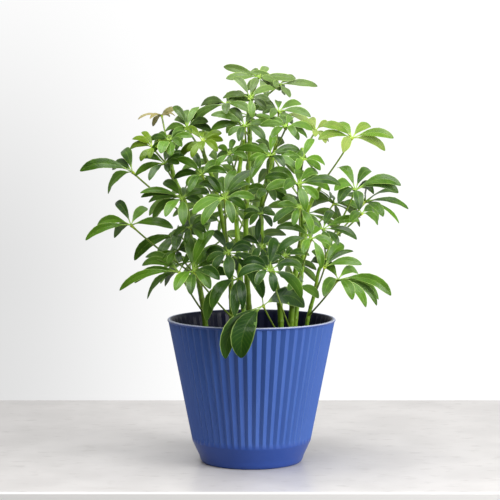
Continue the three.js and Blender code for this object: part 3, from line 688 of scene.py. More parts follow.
# In the order of the nodes. at: the hub as (across, up, depth). tips: each leaflet's tip from the
# hub as (across, up, width, depth), the last two only where they aren't worked out. length: the
# longest leaflet. ring: the leaflets of a leaf that is told by its length alone. twin: a second
# leaf on a forked stalk.
LEAVES = [
    # Left side, from the top down
    dict(cane="a", at=(-106, 412, 6), young=True, length=30,
         tips=[(-28, -5, 6), (-14, -4, 5), (10, -2, 6), (16, -1, 5)]),
    dict(cane="a", at=(-117, 374, -40), young=True,
         tips=[(-24, 10, 9), (-27, -2, 10), (-6, 11, 8), (-13, 18, 8), (15, 12, 9), (27, 0, 10),
               (18, -6, 9)]),
    dict(cane="a", at=(-103, 355, -62), tips=[(-30, 7), (-35, -15), (-18, -20), (6, 13)]),
    dict(cane="a", at=(-141, 345, -14), arch=0.15, tips=[(-62, 1), (-24, 3), (-29, -26), (-12, 25)]),
    dict(cane="a", at=(-143, 282, -20), arch=0.12,
         tips=[(-54, -18), (-40, 0), (-18, 27), (20, 20), (-20, -15), (50, -4)]),
    dict(cane="a", at=(-82, 313, -66),
         tips=[(-50, 7, 9), (-49, 2, 9), (-40, -4, 11), (-35, -23), (-20, -21), (1, -31), (-23, 19, 13)]),
    dict(cane="a", at=(-85, 270, -30), arch=0.15, tips=[(-54, -30), (-5, -18)]),
    dict(cane="a", at=(-73, 279, -62), tips=[(19, -6), (15, -15), (-20, -14)]),
    dict(cane="a", at=(-86, 226, -70),
         tips=[(-40, 18), (-44, 8), (-71, -22), (-53, -13), (-38, -32), (-17, -17)]),
    dict(cane="b", at=(-70, 227, -92),
         tips=[(-21, -23), (-2, -28), (21, -21), (32, -10), (39, 10), (31, 26), (26, 49), (-5, 39)]),
    # Front of the upper left
    dict(cane="b", at=(-76, 397, -40),
         tips=[(-15, 10), (-2, 21), (-17, 25), (14, 25), (25, 7), (29, -4), (-26, -4), (-23, -13),
               (-13, -27)]),
    dict(cane="b", at=(-58, 381, -72), young=True,
         tips=[(-20, 15), (-26, -19), (-1, -11), (18, -12), (12, 10), (-1, 12)]),
    dict(cane="b", at=(-59, 342, -84),
         tips=[(-12, 26), (22, 15), (-15, -21), (-33, -5), (29, 2), (-30, 18), (22, -22)]),
    dict(cane="b", at=(-32, 314, -92),
         tips=[(-30, 17), (-38, -19), (-26, -32), (10, -30), (27, 1), (29, 17), (13, 33), (-7, 24),
               (36, 32)]),
    # Crown
    dict(cane="c", at=(9, 457, -10), arch=0.04,
         tips=[(-42, 12), (-33, 8), (-39, -2), (10, 12), (42, -3), (26, -15, 15)]),
    dict(cane="c", at=(33, 448, 8), arch=0.07, tips=[(45, -2), (19, 8), (7, -12), (-12, 4)]),
    dict(cane="c", at=(-2, 432, -26), tips=[(-20, 24), (10, 23), (30, 11), (-32, 0), (-18, -4)]),
    dict(cane="c", at=(-30, 425, -40), tips=[(-30, -2), (-26, -7), (-42, -25), (0, -12), (8, 8)]),
    dict(cane="c", at=(-8, 399, -60),
         tips=[(-40, 13), (-40, -5), (-18, 20), (14, 15), (-7, -18), (36, -1), (24, -17)]),
    dict(cane="d", at=(32, 416, -30),
         tips=[(-1, 12), (27, 9), (38, -6), (-25, 11), (-19, -2), (-10, -7), (8, -11)]),
    dict(cane="d", at=(41, 398, -62), tips=[(-7, 12), (10, -11), (31, -4), (25, -13), (7, 11)]),
    dict(cane="c", at=(-26, 366, -70), length=34, tips=[(-14, 8), (-15, -4), (21, -6), (6, 17)]),
    dict(cane="d", at=(22, 364, -84),
         tips=[(5, 25), (35, 7), (-40, 7), (32, -17), (17, -13), (-18, -15), (-23, -27)]),
    # Right side, from the top down
    dict(cane="e", at=(76, 394, -16), young=True, tips=[(-33, 19), (-8, 14), (-14, 4), (16, 6)]),
    dict(cane="f", at=(119, 385, -18), young=True,
         tips=[(-40, -2), (-35, 14), (-18, 18), (22, 14), (49, 0), (39, -15), (-11, -17, 15)]),
    dict(cane="e", at=(61, 360, -76), tips=[(13, 24), (-31, 7), (-8, -13), (11, -11), (26, -7)]),
    dict(cane="g", at=(123, 323, -40), arch=0.18,
         tips=[(-21, 27), (19, 23), (54, 6), (51, -2), (-20, -15), (5, -23), (-25, 0), (22, -4)]),
    dict(cane="g", at=(135, 310, 4), tips=[(39, 10), (51, -9), (21, -18), (40, -26, 8), (0, 13)]),
    dict(cane="g", at=(131, 296, -30), length=46, tips=[(19, -14), (14, 2), (-14, -10)]),
    dict(cane="e", at=(55, 330, -92),
         tips=[(-33, 5), (2, 17), (24, 14), (32, 0), (-17, -6), (38, -7), (-33, 17), (51, -1)]),
    dict(cane="e", at=(57, 303, -84), tips=[(-6, 11), (15, -30), (-31, -18), (12, 4)]),
    dict(cane="g", at=(85, 277, -60), tips=[(11, 21), (43, 10), (40, -12), (4, -24, 13), (-12, 2)]),
    dict(cane="e", at=(71, 266, -82), arch=0.17, tips=[(-42, 12), (-39, -17), (18, -12), (12, -36, 11)]),
    dict(cane="g", at=(87, 232, -62), tips=[(23, 26, 17), (44, 3), (-15, 20), (34, 19, 7), (-17, 6)]),
    dict(cane="g", at=(103, 217, -66), length=56, arch=0.18,
         tips=[(63, -19), (48, -24, 10), (46, -31, 10), (33, -33, 12), (17, -24, 15), (-17, -20, 15),
               (24, 7, 12)]),
    # Low in the middle
    dict(cane="d", at=(14, 186, -78), length=66, arch=0.21,
         tips=[(-26, -63, 27, -36), (-45, -64, 18, -30), (49, -2, 22), (-21, 45, 14)]),
    dict(cane="b", at=(-16, 218, -84), arch=0.2,
         tips=[(-4, -45, 15), (-31, -36), (-37, -50), (6, -36, 13)]),
    dict(cane="b", at=(-28, 249, -78), length=48,
         tips=[(2, -31, 16), (29, 8), (43, -21), (-19, 25), (41, -54, 17)]),
    dict(cane="d", at=(12, 256, -62), length=42, tips=[(4, -29), (-8, 14), (14, 10), (-10, -18)]),
    dict(cane="e", at=(22, 228, -132), arch=0.2, tips=[(37, -34), (8, 38, 14), (-14, 8)]),
    dict(cane="e", at=(40, 245, -64), length=42, tips=[(29, 1), (18, -20), (-6, 16)]),
    dict(cane="d", at=(11, 295, -50), length=34,
         tips=[(14, 5), (-13, -2), (-13, -13), (13, -15), (-4, -30)]),
    # Inside and back of the bush
    dict(cane="a", at=(-84, 318, 52), length=56, ring=7),
    dict(cane="h", at=(-52, 306, 118), length=54, ring=7, twin=dict(at=(-70, 240, 92), length=50, ring=6)),
    dict(cane="h", at=(6, 326, 132), length=60, ring=7, twin=dict(at=(2, 262, 126), length=54, ring=6)),
    dict(cane="f", at=(66, 296, 104), length=58, ring=7, twin=dict(at=(44, 236, 92), length=44, ring=6)),
    dict(cane="h", at=(-40, 354, 84), length=52, ring=7, twin=dict(at=(-4, 412, 58), length=44, ring=6)),
    dict(cane="f", at=(24, 366, 74), length=50, ring=7),
    dict(cane="f", at=(98, 308, 50), length=52, ring=7),
    dict(cane="c", at=(-20, 300, 30), length=42, ring=7),
]

# Small leaves inside the bush, told in the same way
INNER_LEAVES = [
    dict(cane="a", at=(-97, 382, -60), tips=[(-24, 0), (-15, 4), (-10, -15, 15), (2, -18, 14), (15, -7)]),
    dict(cane="a", at=(-89, 251, -50), tips=[(-4, 25, 12), (7, 23, 10)]),
    dict(cane="e", at=(53, 208, -62), tips=[(27, -13, 13), (-10, -4), (8, 8)]),
    dict(cane="d", at=(20, 323, -60), tips=[(-22, 0), (-12, -9, 12), (8, -12), (14, 3)]),
]

BLADE_SIZES = {
    "Breadth": 0.85,
    "Fold": 0.34,
    "Curl": 0.16,
    "Wave": 0.1,
    "Twist": 0.6,
    "Thickness": 0.55 * MM,
    "Stalklet Thickness": 1.5 * MM,
    "Stalklet Half Width": 0.62 * MM,
}
# Leaves whose leaflets are narrower or broader than the others', by number
LEAF_BREADTHS = {5: 0.88, 9: 0.7, 36: 1.18}
BLADE_WAVES = 2.3
BLADE_WAVE_LAG = 1.3
BLADE_FACING = (0.8, 2.2)
PLAN_VECTORS = ("root", "bend", "tip", "face")
BLADE_STATIONS = (0.02, 0.09, 0.16, 0.24, 0.35, 0.47, 0.59, 0.71, 0.82, 0.9, 0.955, 0.988)
BLADE_OUTLINE = ((0, 0), (0.08, 0.03), (0.17, 0.24), (0.3, 0.62), (0.44, 0.9), (0.58, 1), (0.72, 0.94),
                 (0.84, 0.75), (0.92, 0.5), (0.975, 0.25), (1, 0.05))
# One ring round a blade, from its left edge over the top and back below, as (across, level)
BLADE_RING = ((-1, 0), (-0.52, 1), (-0.07, 0.9), (0.07, 0.9), (0.52, 1), (1, 0), (0.5, -1), (0, -2.6),
              (-0.5, -1))
BLADE_TOP_FACES = 5
BLADE_WIDEST_LEAST = 0.92
BLADE_WIDEST_SPREAD = 0.16
STALKLET_STEP = (0.04, 0.24)
TIP_THIN_STEP = (0.9, 1, 1, 0.2)
TIP_CLOSE_STEP = (0.985, 1, 1, 0)

LEAF_DEEP = (16, 48, 4)
# Painted shade for blades deep in the low middle of the bush
LEAF_PAINTED_SHADE = (20, 56, 12)
LEAF_MID = (84, 124, 28)
# Paler grey-green towards the top: partly new growth, partly a painted sheen
LEAF_NEW_GROWTH_AND_SHEEN = (112, 124, 82)
LEAF_UNDER = (104, 140, 62)
LEAF_RIB = (150, 184, 74)
# A thin painted highlight along the blades' edges
LEAF_EDGE_HIGHLIGHT = (180, 206, 112)
YOUNG_DEEP = (78, 120, 10)
YOUNG_MID = (128, 146, 66)
YOUNG_UNDER = (146, 180, 72)
YOUNG_RIB = (170, 196, 80)
HALF_GROWN_DEEP = (82, 110, 6)
HALF_GROWN_MID = (104, 134, 18)
HALF_GROWN_UNDER = (128, 158, 40)
BUD_BROWN = (134, 118, 66)
BUD_TAN = (146, 142, 92)
STALK_GREEN = (104, 132, 48)
STALK_HUB = (176, 200, 48)

# How the finishes vary: new growth and a painted grey sheen pale the blades towards the top, and painted
# shade darkens them low in the middle of the bush
MATURE_ROUGHNESS = 0.3
YOUNG_ROUGHNESS = 0.36
BUD_ROUGHNESS = 0.4
BLADE_GLOSS = 0.25
BLADE_PATCHES = dict(scale=60)
SHADE_PARTS = (0.55, 0.7)
SHADE_STEP = (0.15, 0.9)
NEWER_AND_SHEEN_STEP = (0.37, 0.48, 0, 0.5)
# Where the painted shade lies: near the middle across, and low down; the midrib fades there too
PAINTED_SHADE_WITHIN = 0.065
PAINTED_SHADE_BELOW = 0.36
PAINTED_SHADE_SHARE = 0.78
WITHIN_STEP = (PAINTED_SHADE_WITHIN / 2, PAINTED_SHADE_WITHIN, 1, 0)
PAINTED_SHADE_STEP = (PAINTED_SHADE_BELOW * 0.7, PAINTED_SHADE_BELOW, PAINTED_SHADE_SHARE, 0)
VEIN_COUNT = 13
VEIN_SLANT = 2.4
VEIN_STEP = (0, 0.16, 1, 0)
VEIN_SHARE = 0.07
RIM_HIGHLIGHT_STEP = (0.87, 0.99)
RIM_HIGHLIGHT_TONE_STEP = (0, 1, 0.3, 0.85)
MIDRIB_STEP = (0.02, 0.08, 1, 0)
MIDRIB_SHADE_STEP = (0, PAINTED_SHADE_SHARE, 0.22, 0.08)
STALKLET_PALE_STEP = (0.08, 0.2, 1, 0)
PATCH_RELIEF_SHARE = 0.6
BLADE_RELIEF = (0.12 * MM, 0.5)
BLADE_GLOW = dict(Subsurface_Weight=0.06, Subsurface_Radius=(0.5, 1, 0.2), Subsurface_Scale=1.2 * MM)
UNDER_ROUGHNESS = 0.5
UNDER_GLOSS = 0.35
UNDER_PATCHES = dict(scale=80)
UNDER_PATCH_STEP = (0.3, 0.7, 0, 0.3)
UNDER_MIDRIB_STEP = (0, 0.2, 0.8, 0)
UNDER_GRAIN = dict(scale=700)
UNDER_RELIEF = (0.08 * MM, 0.4)
STALK_ROUGHNESS = 0.45
STALK_STREAKS = dict(scale=300, stretch=(1, 1, 0.2))
STALK_STREAK_STEP = (0.3, 0.7, 0, 0.35)
STALK_HUB_STEP = (0.86, 1, 0, 1)
STALK_GRAIN = dict(scale=600)
STALK_RELIEF = (0.1 * MM, 0.4)

# A row of draws: each number is the one before times DRAW_FACTOR, less whole DRAW_LIMITs
DRAW_START = (7919, 12345)
DRAW_FACTOR = 16807
DRAW_LIMIT = 2147483647

UP = Vector((0, 0, 1))
FRONT = Vector((0, -1, 0))


def draws_from(seed):
    """A small generator of numbers from 0 to 1 that gives the same row for the same seed."""
    state = seed * DRAW_START[0] + DRAW_START[1]

    def draw():
        nonlocal state
        state = state * DRAW_FACTOR % DRAW_LIMIT
        return state / DRAW_LIMIT
    return draw


def stalk_foot(curve, hub):
    """The place on a cane from which a stalk rises to a hub at a natural slope."""
    for i in range(STALK_TRIES, -1, -1):
        point = curve(i / STALK_TRIES)
        away = math.hypot(hub.x - point.x, hub.y - point.y)
        if hub.z - point.z >= max(STALK_SLOPE * away, STALK_LEAST_RISE) or point.z < STALK_LOWEST:
            return point
    return curve(STALK_FALLBACK_PLACE)


def bent(start, middle, end):
    """A curve of one bend, as a function of a share from 0 to 1."""
    return lambda t: start * (1 - t) ** 2 + middle * 2 * t * (1 - t) + end * t ** 2


def stalk_curve(foot, hub):
    rise = hub - foot
    return bent(foot, foot + rise * STALK_BEND_PLACE - UP * STALK_SAG * rise.length, hub)


def umbrella_frame(hub):
    """The direction that a leaf's umbrella faces, leaning out from the bush, and two across it."""
    outward = Vector((hub.x, hub.y, 0)).normalized()
    axis = (outward * math.tan(LEAN) + UP).normalized()
    sideways = UP.cross(axis).normalized()
    return axis, sideways, axis.cross(sideways)


def tip_in_depth(across, up, length, axis):
    """How a leaflet that is seen at a slant runs in depth, and its whole length."""
    seen = math.hypot(across, up)
    whole = seen + DEPTH_SHARE * max(length - seen, 0)
    depth = math.sqrt(whole ** 2 - seen ** 2)

    def off(sign):
        return abs((across * axis.x + sign * depth * axis.y + up * axis.z) / whole - DROOP)
    return (-depth if off(-1) < off(1) else depth), whole


def leaflet_width(length, longest):
    """A leaflet's width, which follows its leaf's longest leaflet more than its own length."""
    typical = LEAFLET_OWN_SHARE * length + (1 - LEAFLET_OWN_SHARE) * longest
    return min(max(LEAFLET_ASPECT * typical, LEAFLET_WIDTH_LEAST), LEAFLET_WIDTH_MOST)


def spread_leaflet(hub, angle, length, longest):
    """A leaflet at an angle round the umbrella's axis that drops a little from its plane."""
    axis, sideways, forward = umbrella_frame(hub)
    spread = sideways * math.cos(angle) + forward * math.sin(angle)
    tip = hub + spread * (length * math.sqrt(1 - DROOP ** 2)) + axis * (length * DROOP)
    return tip, leaflet_width(length, longest)


def angle_gaps(hub, leaflets):
    """The gaps between neighbouring leaflets round the umbrella's axis, as (angle, gap)."""
    _, sideways, forward = umbrella_frame(hub)
    runs = [tip - hub for tip, _ in leaflets]
    angles = sorted(math.atan2(run.dot(forward), run.dot(sideways)) for run in runs)
    return [(angle, after - angle) for angle, after in zip(angles, angles[1:] + [angles[0] + TURN])]


def longest_of(leaf):
    seen = [math.hypot(*tip[:2]) for tip in leaf.get("tips", [])]
    return leaf.get("length") or LONGEST_ALLOWANCE * max(seen + [LONGEST_LEAST])


def leaflets_of(leaf, hub, seed):
    """The tips and widths of the leaflets that a leaf has in its node."""
    axis, _, _ = umbrella_frame(hub)
    draw = draws_from(seed)
    longest = longest_of(leaf)
    leaflets = []
    for across, up, *given in leaf.get("tips", []):
        depth, whole = tip_in_depth(across, up, longest, axis)
        width = given[0] if given else leaflet_width(whole, longest)
        if len(given) > 1:
            depth = given[1]
        leaflets.append((seen_point(leaf["at"][0] + across, leaf["at"][1] + up, hub.y + depth), width))
    if "ring" in leaf:
        turn = draw() * TURN
        for i in range(leaf["ring"]):
            angle = turn + (i + RING_JITTER * (draw() - 0.5)) / leaf["ring"] * TURN
            length = longest * (RING_LENGTH[0] + RING_LENGTH[1] * draw())
            leaflets.append(spread_leaflet(hub, angle, length, longest))
        return leaflets
    # Leaflets that close the wide gaps at the back of a leaf
    for angle, gap in angle_gaps(hub, leaflets):
        parts = min(math.floor(gap / FILL_SPACING + 0.5), FILL_MOST)
        for part in range(1, parts if gap > WIDEST_GAP else 1):
            length = longest * (FILL_LENGTH[0] + FILL_LENGTH[1] * draw())
            leaflet = spread_leaflet(hub, angle + gap * part / parts, length, longest)
            if leaflet[0].y > hub.y + FILL_BEHIND * longest:
                leaflets.append(leaflet)
    return leaflets


def finer_leaflets(leaf, hub, seed, leaflets):
    """The leaflets that close a leaf's other gaps, where they point inwards, forwards or back."""
    whim = random.Random(FINER_SEED + seed)
    longest = longest_of(leaf)
    added = []
    if hub.z < FINER_LOWEST or abs(hub.x) > FINER_WIDEST:
        return added
    for angle, gap in angle_gaps(hub, leaflets):
        parts = math.floor(gap / FINER_SPACING + 0.5)
        for part in range(1, parts if gap > FINER_GAP else 1):
            length = longest * whim.uniform(*FINER_LENGTH)
            tip, width = spread_leaflet(hub, angle + gap * part / parts, length, longest)
            seen = math.hypot(tip.x - hub.x, tip.z - hub.z)
            if seen < FINER_SEEN * longest or abs(tip.x) < abs(hub.x):
                added.append((tip, width))
    return added


def across_run(direction, run):
    """The part of a direction at right angles to a run, one long."""
    return (direction - run * (direction.dot(run) / run.length_squared)).normalized()


def leaf_plan(leaf, slide, seed, curve, finer=False):
    """Where a leaf's leaflets and stalks run, for one slide along the line of sight.

    The blades turn their tops to the light, which comes from the front or from outside the bush."""
    across, up, depth = leaf["at"]
    hub = seen_point(across, up, depth + slide)
    axis, _, _ = umbrella_frame(hub)
    light = Vector((hub.x, hub.y, 0)).normalized() if "ring" in leaf else FRONT
    stalk = stalk_curve(stalk_foot(curve, hub), hub)
    whim = random.Random(seed)
    leaflets = leaflets_of(leaf, hub, seed)
    if finer:
        leaflets += finer_leaflets(leaf, hub, seed, leaflets)
    blades = []
    for tip, width in leaflets:
        run = tip - hub
        face = across_run(axis, run) + across_run(light, run) * whim.uniform(*BLADE_FACING)
        bend = hub + run * BEND_PLACE + across_run(UP, run) * (2 * leaf.get("arch", ARCH) * run.length)
        blades.append({"root": hub, "bend": bend, "tip": tip, "face": face.normalized(), "width": width})
    plan = {"blades": blades, "stalks": [stalk]}
    if leaf.get("twin"):
        fork = stalk(FORK_PLACE)
        twin = leaf_plan({**leaf, "twin": None, **leaf["twin"]}, slide, seed + TWIN_SEED,
                         lambda share: fork, finer)
        plan = {"blades": blades + twin["blades"], "stalks": [stalk, *twin["stalks"]]}
    return plan


def placed_plan(leaf, seed, node):
    """The full plan at the slide where the leaflets end as the node's do."""
    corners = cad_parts[node].data.vertices
    near = KDTree(len(corners))
    for corner in corners:
        near.insert(corner.co / MM, corner.index)
    near.balance()
    curve = cane_curves[leaf["cane"]]

    def misfit(slide):
        blades = leaf_plan(leaf, slide, seed, curve)["blades"]
        return sum(near.find(blade["tip"])[2] for blade in blades) / len(blades)
    slides = [math.ceil(step / 2) * (-SLIDE_STEP if step % 2 else SLIDE_STEP)
              for step in range(SLIDE_STEPS + 1)]
    best = min(slides, key=misfit)
    if misfit(best) > FIT_SLACK:
        raise ValueError(f"{node} is {misfit(best):.2f} mm off its node")
    return leaf_plan(leaf, best, seed, curve, finer=True)


def leaflet_shell():
    """The closed skin that every leaflet is bent from; its points hold only their place on a blade."""
    shell = bmesh.new()
    along = shell.verts.layers.float.new("along")
    across = shell.verts.layers.float.new("across")
    level = shell.verts.layers.float.new("level")
    under = shell.faces.layers.float.new("under")
    rings = []
    for place in (0, *BLADE_STATIONS, 1):
        ring = []
        for side, height in (BLADE_RING if 0 < place < 1 else ((0, 0),)):
            vert = shell.verts.new((side, place, height))
            vert[along], vert[across], vert[level] = place, side, height
            ring.append(vert)
        rings.append(ring)
    count = len(BLADE_RING)
    for near, far in zip(rings, rings[1:]):
        for i in range(count):
            corners = [near[i % len(near)], near[(i + 1) % count % len(near)]]
            corners += [far[(i + 1) % count % len(far)], far[i % len(far)]]
            face = shell.faces.new([v for n, v in enumerate(corners) if v not in corners[:n]])
            face.smooth = True
            face[under] = 0 if i < BLADE_TOP_FACES else 1
    for edge in shell.edges:
        edge.smooth = not all(abs(vert[across]) == 1 for vert in edge.verts)
    bmesh.ops.recalc_face_normals(shell, faces=shell.faces)
    mesh = bpy.data.meshes.new("leaflet_shell")
    shell.to_mesh(mesh)
    shell.free()
    return mesh_object("leaflet_shell", mesh)


def outline_curve(tree, value):
    """The half width of a blade along its length, as a share of its widest half."""
    node = tree.new("ShaderNodeFloatCurve", Value=value)
    curve = node.mapping.curves[0]
    curve.points[0].location = BLADE_OUTLINE[0]
    curve.points[1].location = BLADE_OUTLINE[-1]
    for point in BLADE_OUTLINE[1:-1]:
        curve.points.new(*point)
    node.mapping.update()
    return node.outputs[0]


def bent_blades(tree, blades, sizes):
    """Bends each leaflet's skin along its line, with its outline, fold, curl, wave and twist."""
    along, across, level = (tree.named(name) for name in ("along", "across", "level"))
    root, bend, tip, face = (tree.named(f"plan_{name}", "FLOAT_VECTOR") for name in PLAN_VECTORS)
    whim = tree.named("whim", "FLOAT_VECTOR")
    tone, bias, phase = tree.parts(whim)
    near = tree.mix(along, root, bend, "VECTOR")
    far = tree.mix(along, bend, tip, "VECTOR")
    centre = tree.mix(along, near, far, "VECTOR")
    forward = tree.vector("NORMALIZE", tree.vector("SUBTRACT", far, near))
    level_side = tree.vector("NORMALIZE", tree.vector("CROSS_PRODUCT", forward, face))
    angle = tree.times(tree.math("SUBTRACT", bias, 0.5), along, sizes["Twist"])
    side = tree.add("ShaderNodeVectorRotate", level_side, (0, 0, 0), forward, angle,
                    rotation_type="AXIS_ANGLE")
    normal = tree.vector("CROSS_PRODUCT", side, forward)
    shift = tree.math("ADD", BLADE_WIDEST_LEAST, tree.times(phase, BLADE_WIDEST_SPREAD))
    full = outline_curve(tree, tree.math("POWER", along, shift))
    widest = tree.times(tree.named("plan_width"), 0.5, sizes["Breadth"])
    half = tree.math("MAXIMUM", tree.times(full, widest), sizes["Stalklet Half Width"])
    out = tree.math("ABSOLUTE", across)
    fold = tree.times(out, sizes["Fold"], tree.math("ADD", 0.5, phase))
    curl = tree.times(out, out, sizes["Curl"])
    turn = tree.math("ADD", tree.times(along, TURN, BLADE_WAVES), tree.times(tone, TURN))
    lag = tree.times(tree.math("SIGN", across), BLADE_WAVE_LAG)
    wave = tree.times(tree.math("SINE", tree.math("ADD", turn, lag)), out, sizes["Wave"])
    rise = tree.times(half, full, tree.math("SUBTRACT", tree.math("ADD", fold, wave), curl))
    thin = tree.ramp(along, *STALKLET_STEP)
    thickness = tree.mix(thin, sizes["Stalklet Thickness"], sizes["Thickness"])
    taper = tree.ramp(along, *TIP_THIN_STEP)
    height = tree.math("ADD", rise, tree.times(level, 0.5, thickness, taper))
    pointed = tree.ramp(along, *TIP_CLOSE_STEP)
    place = tree.vector("ADD", centre, tree.vector("SCALE", side, tree.times(across, half)))
    place = tree.vector("ADD", place, tree.vector("SCALE", normal, tree.times(height, pointed)))
    return tree.add("GeometryNodeSetPosition", blades, True, place)


def leaf_tree():
    """A whole leaf: a leaflet on each loose point, and a stalk along each line."""
    tree = GeometryTree("umbrella leaf")
    shell = tree.size("Leaflet Shell", "NodeSocketObject")
    sizes = {name: tree.size(name) for name in BLADE_SIZES}
    sides = tree.size("Stalk Sides", "NodeSocketInt")
    finishes = [tree.size(f"{part} Finish", "NodeSocketMaterial") for part in ("Top", "Under", "Stalk")]
    split = tree.new("GeometryNodeSeparateGeometry", Geometry=tree.start.outputs["Geometry"],
                     Selection=tree.math("GREATER_THAN", tree.named("plan_width"), 0))
    skin = tree.new("GeometryNodeObjectInfo", Object=shell).outputs["Geometry"]
    copies = tree.new("GeometryNodeInstanceOnPoints", Points=split.outputs["Selection"], Instance=skin)
    blades = bent_blades(tree, tree.add("GeometryNodeRealizeInstances", copies.outputs[0]), sizes)
    line = tree.add("GeometryNodeMeshToCurve", split.outputs["Inverted"])
    stalk = tree.add("GeometryNodeStoreNamedAttribute", tube(tree, line, sides, tree.named("girth")),
                     True, "stalk", 1.0, domain="FACE")
    whole = tree.add("GeometryNodeRealizeInstances", joined(tree, blades, stalk))
    for part, finish in zip((None, "under", "stalk"), finishes):
        chosen = tree.math("GREATER_THAN", tree.named(part), 0.5) if part else True
        whole = tree.add("GeometryNodeSetMaterial", whole, chosen, finish)
    clean = tree.add("GeometryNodeRemoveAttribute", whole, "plan_*", pattern_mode="WILDCARD")
    tree.new("NodeGroupOutput", Geometry=clean)
    return tree


def leaf_source(plan, seed):
    """The points and lines that the leaf tree grows a leaf from."""
    lines = []
    for curve in plan["stalks"]:
        line = []
        for step in range(STALK_STEPS + 1):
            share = step / STALK_STEPS
            clasp = max(1 - share / STALK_CLASP_REACH, 0) ** 2
            knob = max(1 - (1 - share) / KNOB_REACH, 0) ** 0.5
            radius = STALK_RADIUS + clasp * (STALK_CLASP_RADIUS - STALK_RADIUS)
            line.append((curve(share), radius + knob * (KNOB_RADIUS - STALK_RADIUS), share))
        lines.append(line)
    mesh = stem_lines("leaf_plan", lines)
    stalk_points = len(mesh.vertices)
    blades = plan["blades"]
    mesh.vertices.add(len(blades))
    draw = random.Random(seed)
    whims = [(draw.random(), draw.random(), draw.random()) for _ in blades]
    no_place = [(0, 0, 0)] * stalk_points
    columns = {f"plan_{name}": no_place + [blade[name] * MM for blade in blades] for name in PLAN_VECTORS}
    columns["whim"] = no_place + whims
    for name, rows in columns.items():
        data = mesh.attributes.new(name, "FLOAT_VECTOR", "POINT").data
        data.foreach_set("vector", [number for row in rows for number in row])
    widths = [0] * stalk_points + [blade["width"] * MM for blade in blades]
    mesh.attributes.new("plan_width", "FLOAT", "POINT").data.foreach_set("value", widths)
    return mesh_object("leaf_plan", mesh)


def blade_finish(name, roughness, deep, mid, light, rib, edge):
    """The glossy top of a blade, paler the higher it grew, partly from a painted sheen, and darkened by
    painted shade low in the middle of the bush, with its pale midrib, fine side veins and a thin painted
    highlight along its edge."""
    material, nodes, shader = material_nodes(name, roughness, BLADE_GLOSS)
    along = attribute(nodes, "along")
    out = nodes.math("ABSOLUTE", attribute(nodes, "across"))
    tone = nodes.parts(attribute(nodes, "whim", "Vector"))[0]
    patches = noise(nodes, **BLADE_PATCHES)
    shade = nodes.math("ADD", nodes.times(tone, SHADE_PARTS[0]), nodes.times(patches, SHADE_PARTS[1]))
    colour = nodes.blend(nodes.ramp(shade, *SHADE_STEP), deep, mid)
    sideways, _, height = nodes.parts(object_place(nodes))
    # Paler towards the top: partly new growth, partly a painted grey sheen
    colour = nodes.blend(nodes.ramp(height, *NEWER_AND_SHEEN_STEP), colour, light)
    # Painted shade: darker low in the middle of the bush, with a fainter midrib there
    inner = nodes.ramp(nodes.math("ABSOLUTE", sideways), *WITHIN_STEP)
    painted_shade = nodes.times(inner, nodes.ramp(height, *PAINTED_SHADE_STEP))
    colour = nodes.blend(painted_shade, colour, LEAF_PAINTED_SHADE)
    row = nodes.math("SUBTRACT", nodes.times(along, VEIN_COUNT), nodes.times(out, VEIN_SLANT))
    vein = nodes.ramp(off_half(nodes, row), *VEIN_STEP)
    colour = nodes.blend(nodes.times(vein, VEIN_SHARE), colour, rib)
    # A thin painted highlight along the edge, stronger on lighter blades
    rim_highlight = nodes.times(nodes.ramp(out, *RIM_HIGHLIGHT_STEP), nodes.ramp(tone, *RIM_HIGHLIGHT_TONE_STEP))
    colour = nodes.blend(rim_highlight, colour, edge)
    midrib = nodes.times(nodes.ramp(out, *MIDRIB_STEP), nodes.ramp(painted_shade, *MIDRIB_SHADE_STEP))
    middle = nodes.math("MAXIMUM", midrib, nodes.ramp(along, *STALKLET_PALE_STEP))
    nodes.fed(shader, Base_Color=nodes.blend(middle, colour, rib), **BLADE_GLOW)
    relief = nodes.math("SUBTRACT", nodes.times(patches, PATCH_RELIEF_SHARE), vein)
    bumped(nodes, shader, relief, *BLADE_RELIEF)
    return material


def under_finish(name, under, rib):
    """The paler, duller underside of a blade with its raised midrib."""
    material, nodes, shader = material_nodes(name, UNDER_ROUGHNESS, UNDER_GLOSS)
    out = nodes.math("ABSOLUTE", attribute(nodes, "across"))
    colour = nodes.blend(nodes.ramp(noise(nodes, **UNDER_PATCHES), *UNDER_PATCH_STEP), under, rib)
    nodes.fed(shader, Base_Color=nodes.blend(nodes.ramp(out, *UNDER_MIDRIB_STEP), colour, rib))
    bumped(nodes, shader, noise(nodes, **UNDER_GRAIN), *UNDER_RELIEF)
    return material


def stalk_finish():
    """Thin green leaf stalks that turn yellow-green at the knob."""
    material, nodes, shader = material_nodes("leaf_stalk", STALK_ROUGHNESS)
    streaks = nodes.ramp(noise(nodes, **STALK_STREAKS), *STALK_STREAK_STEP)
    knob = nodes.ramp(attribute(nodes, "along"), *STALK_HUB_STEP)
    green = nodes.blend(streaks, STALK_GREEN, STALK_HUB)
    nodes.fed(shader, Base_Color=nodes.blend(knob, green, STALK_HUB))
    bumped(nodes, shader, noise(nodes, **STALK_GRAIN), *STALK_RELIEF)
    return material


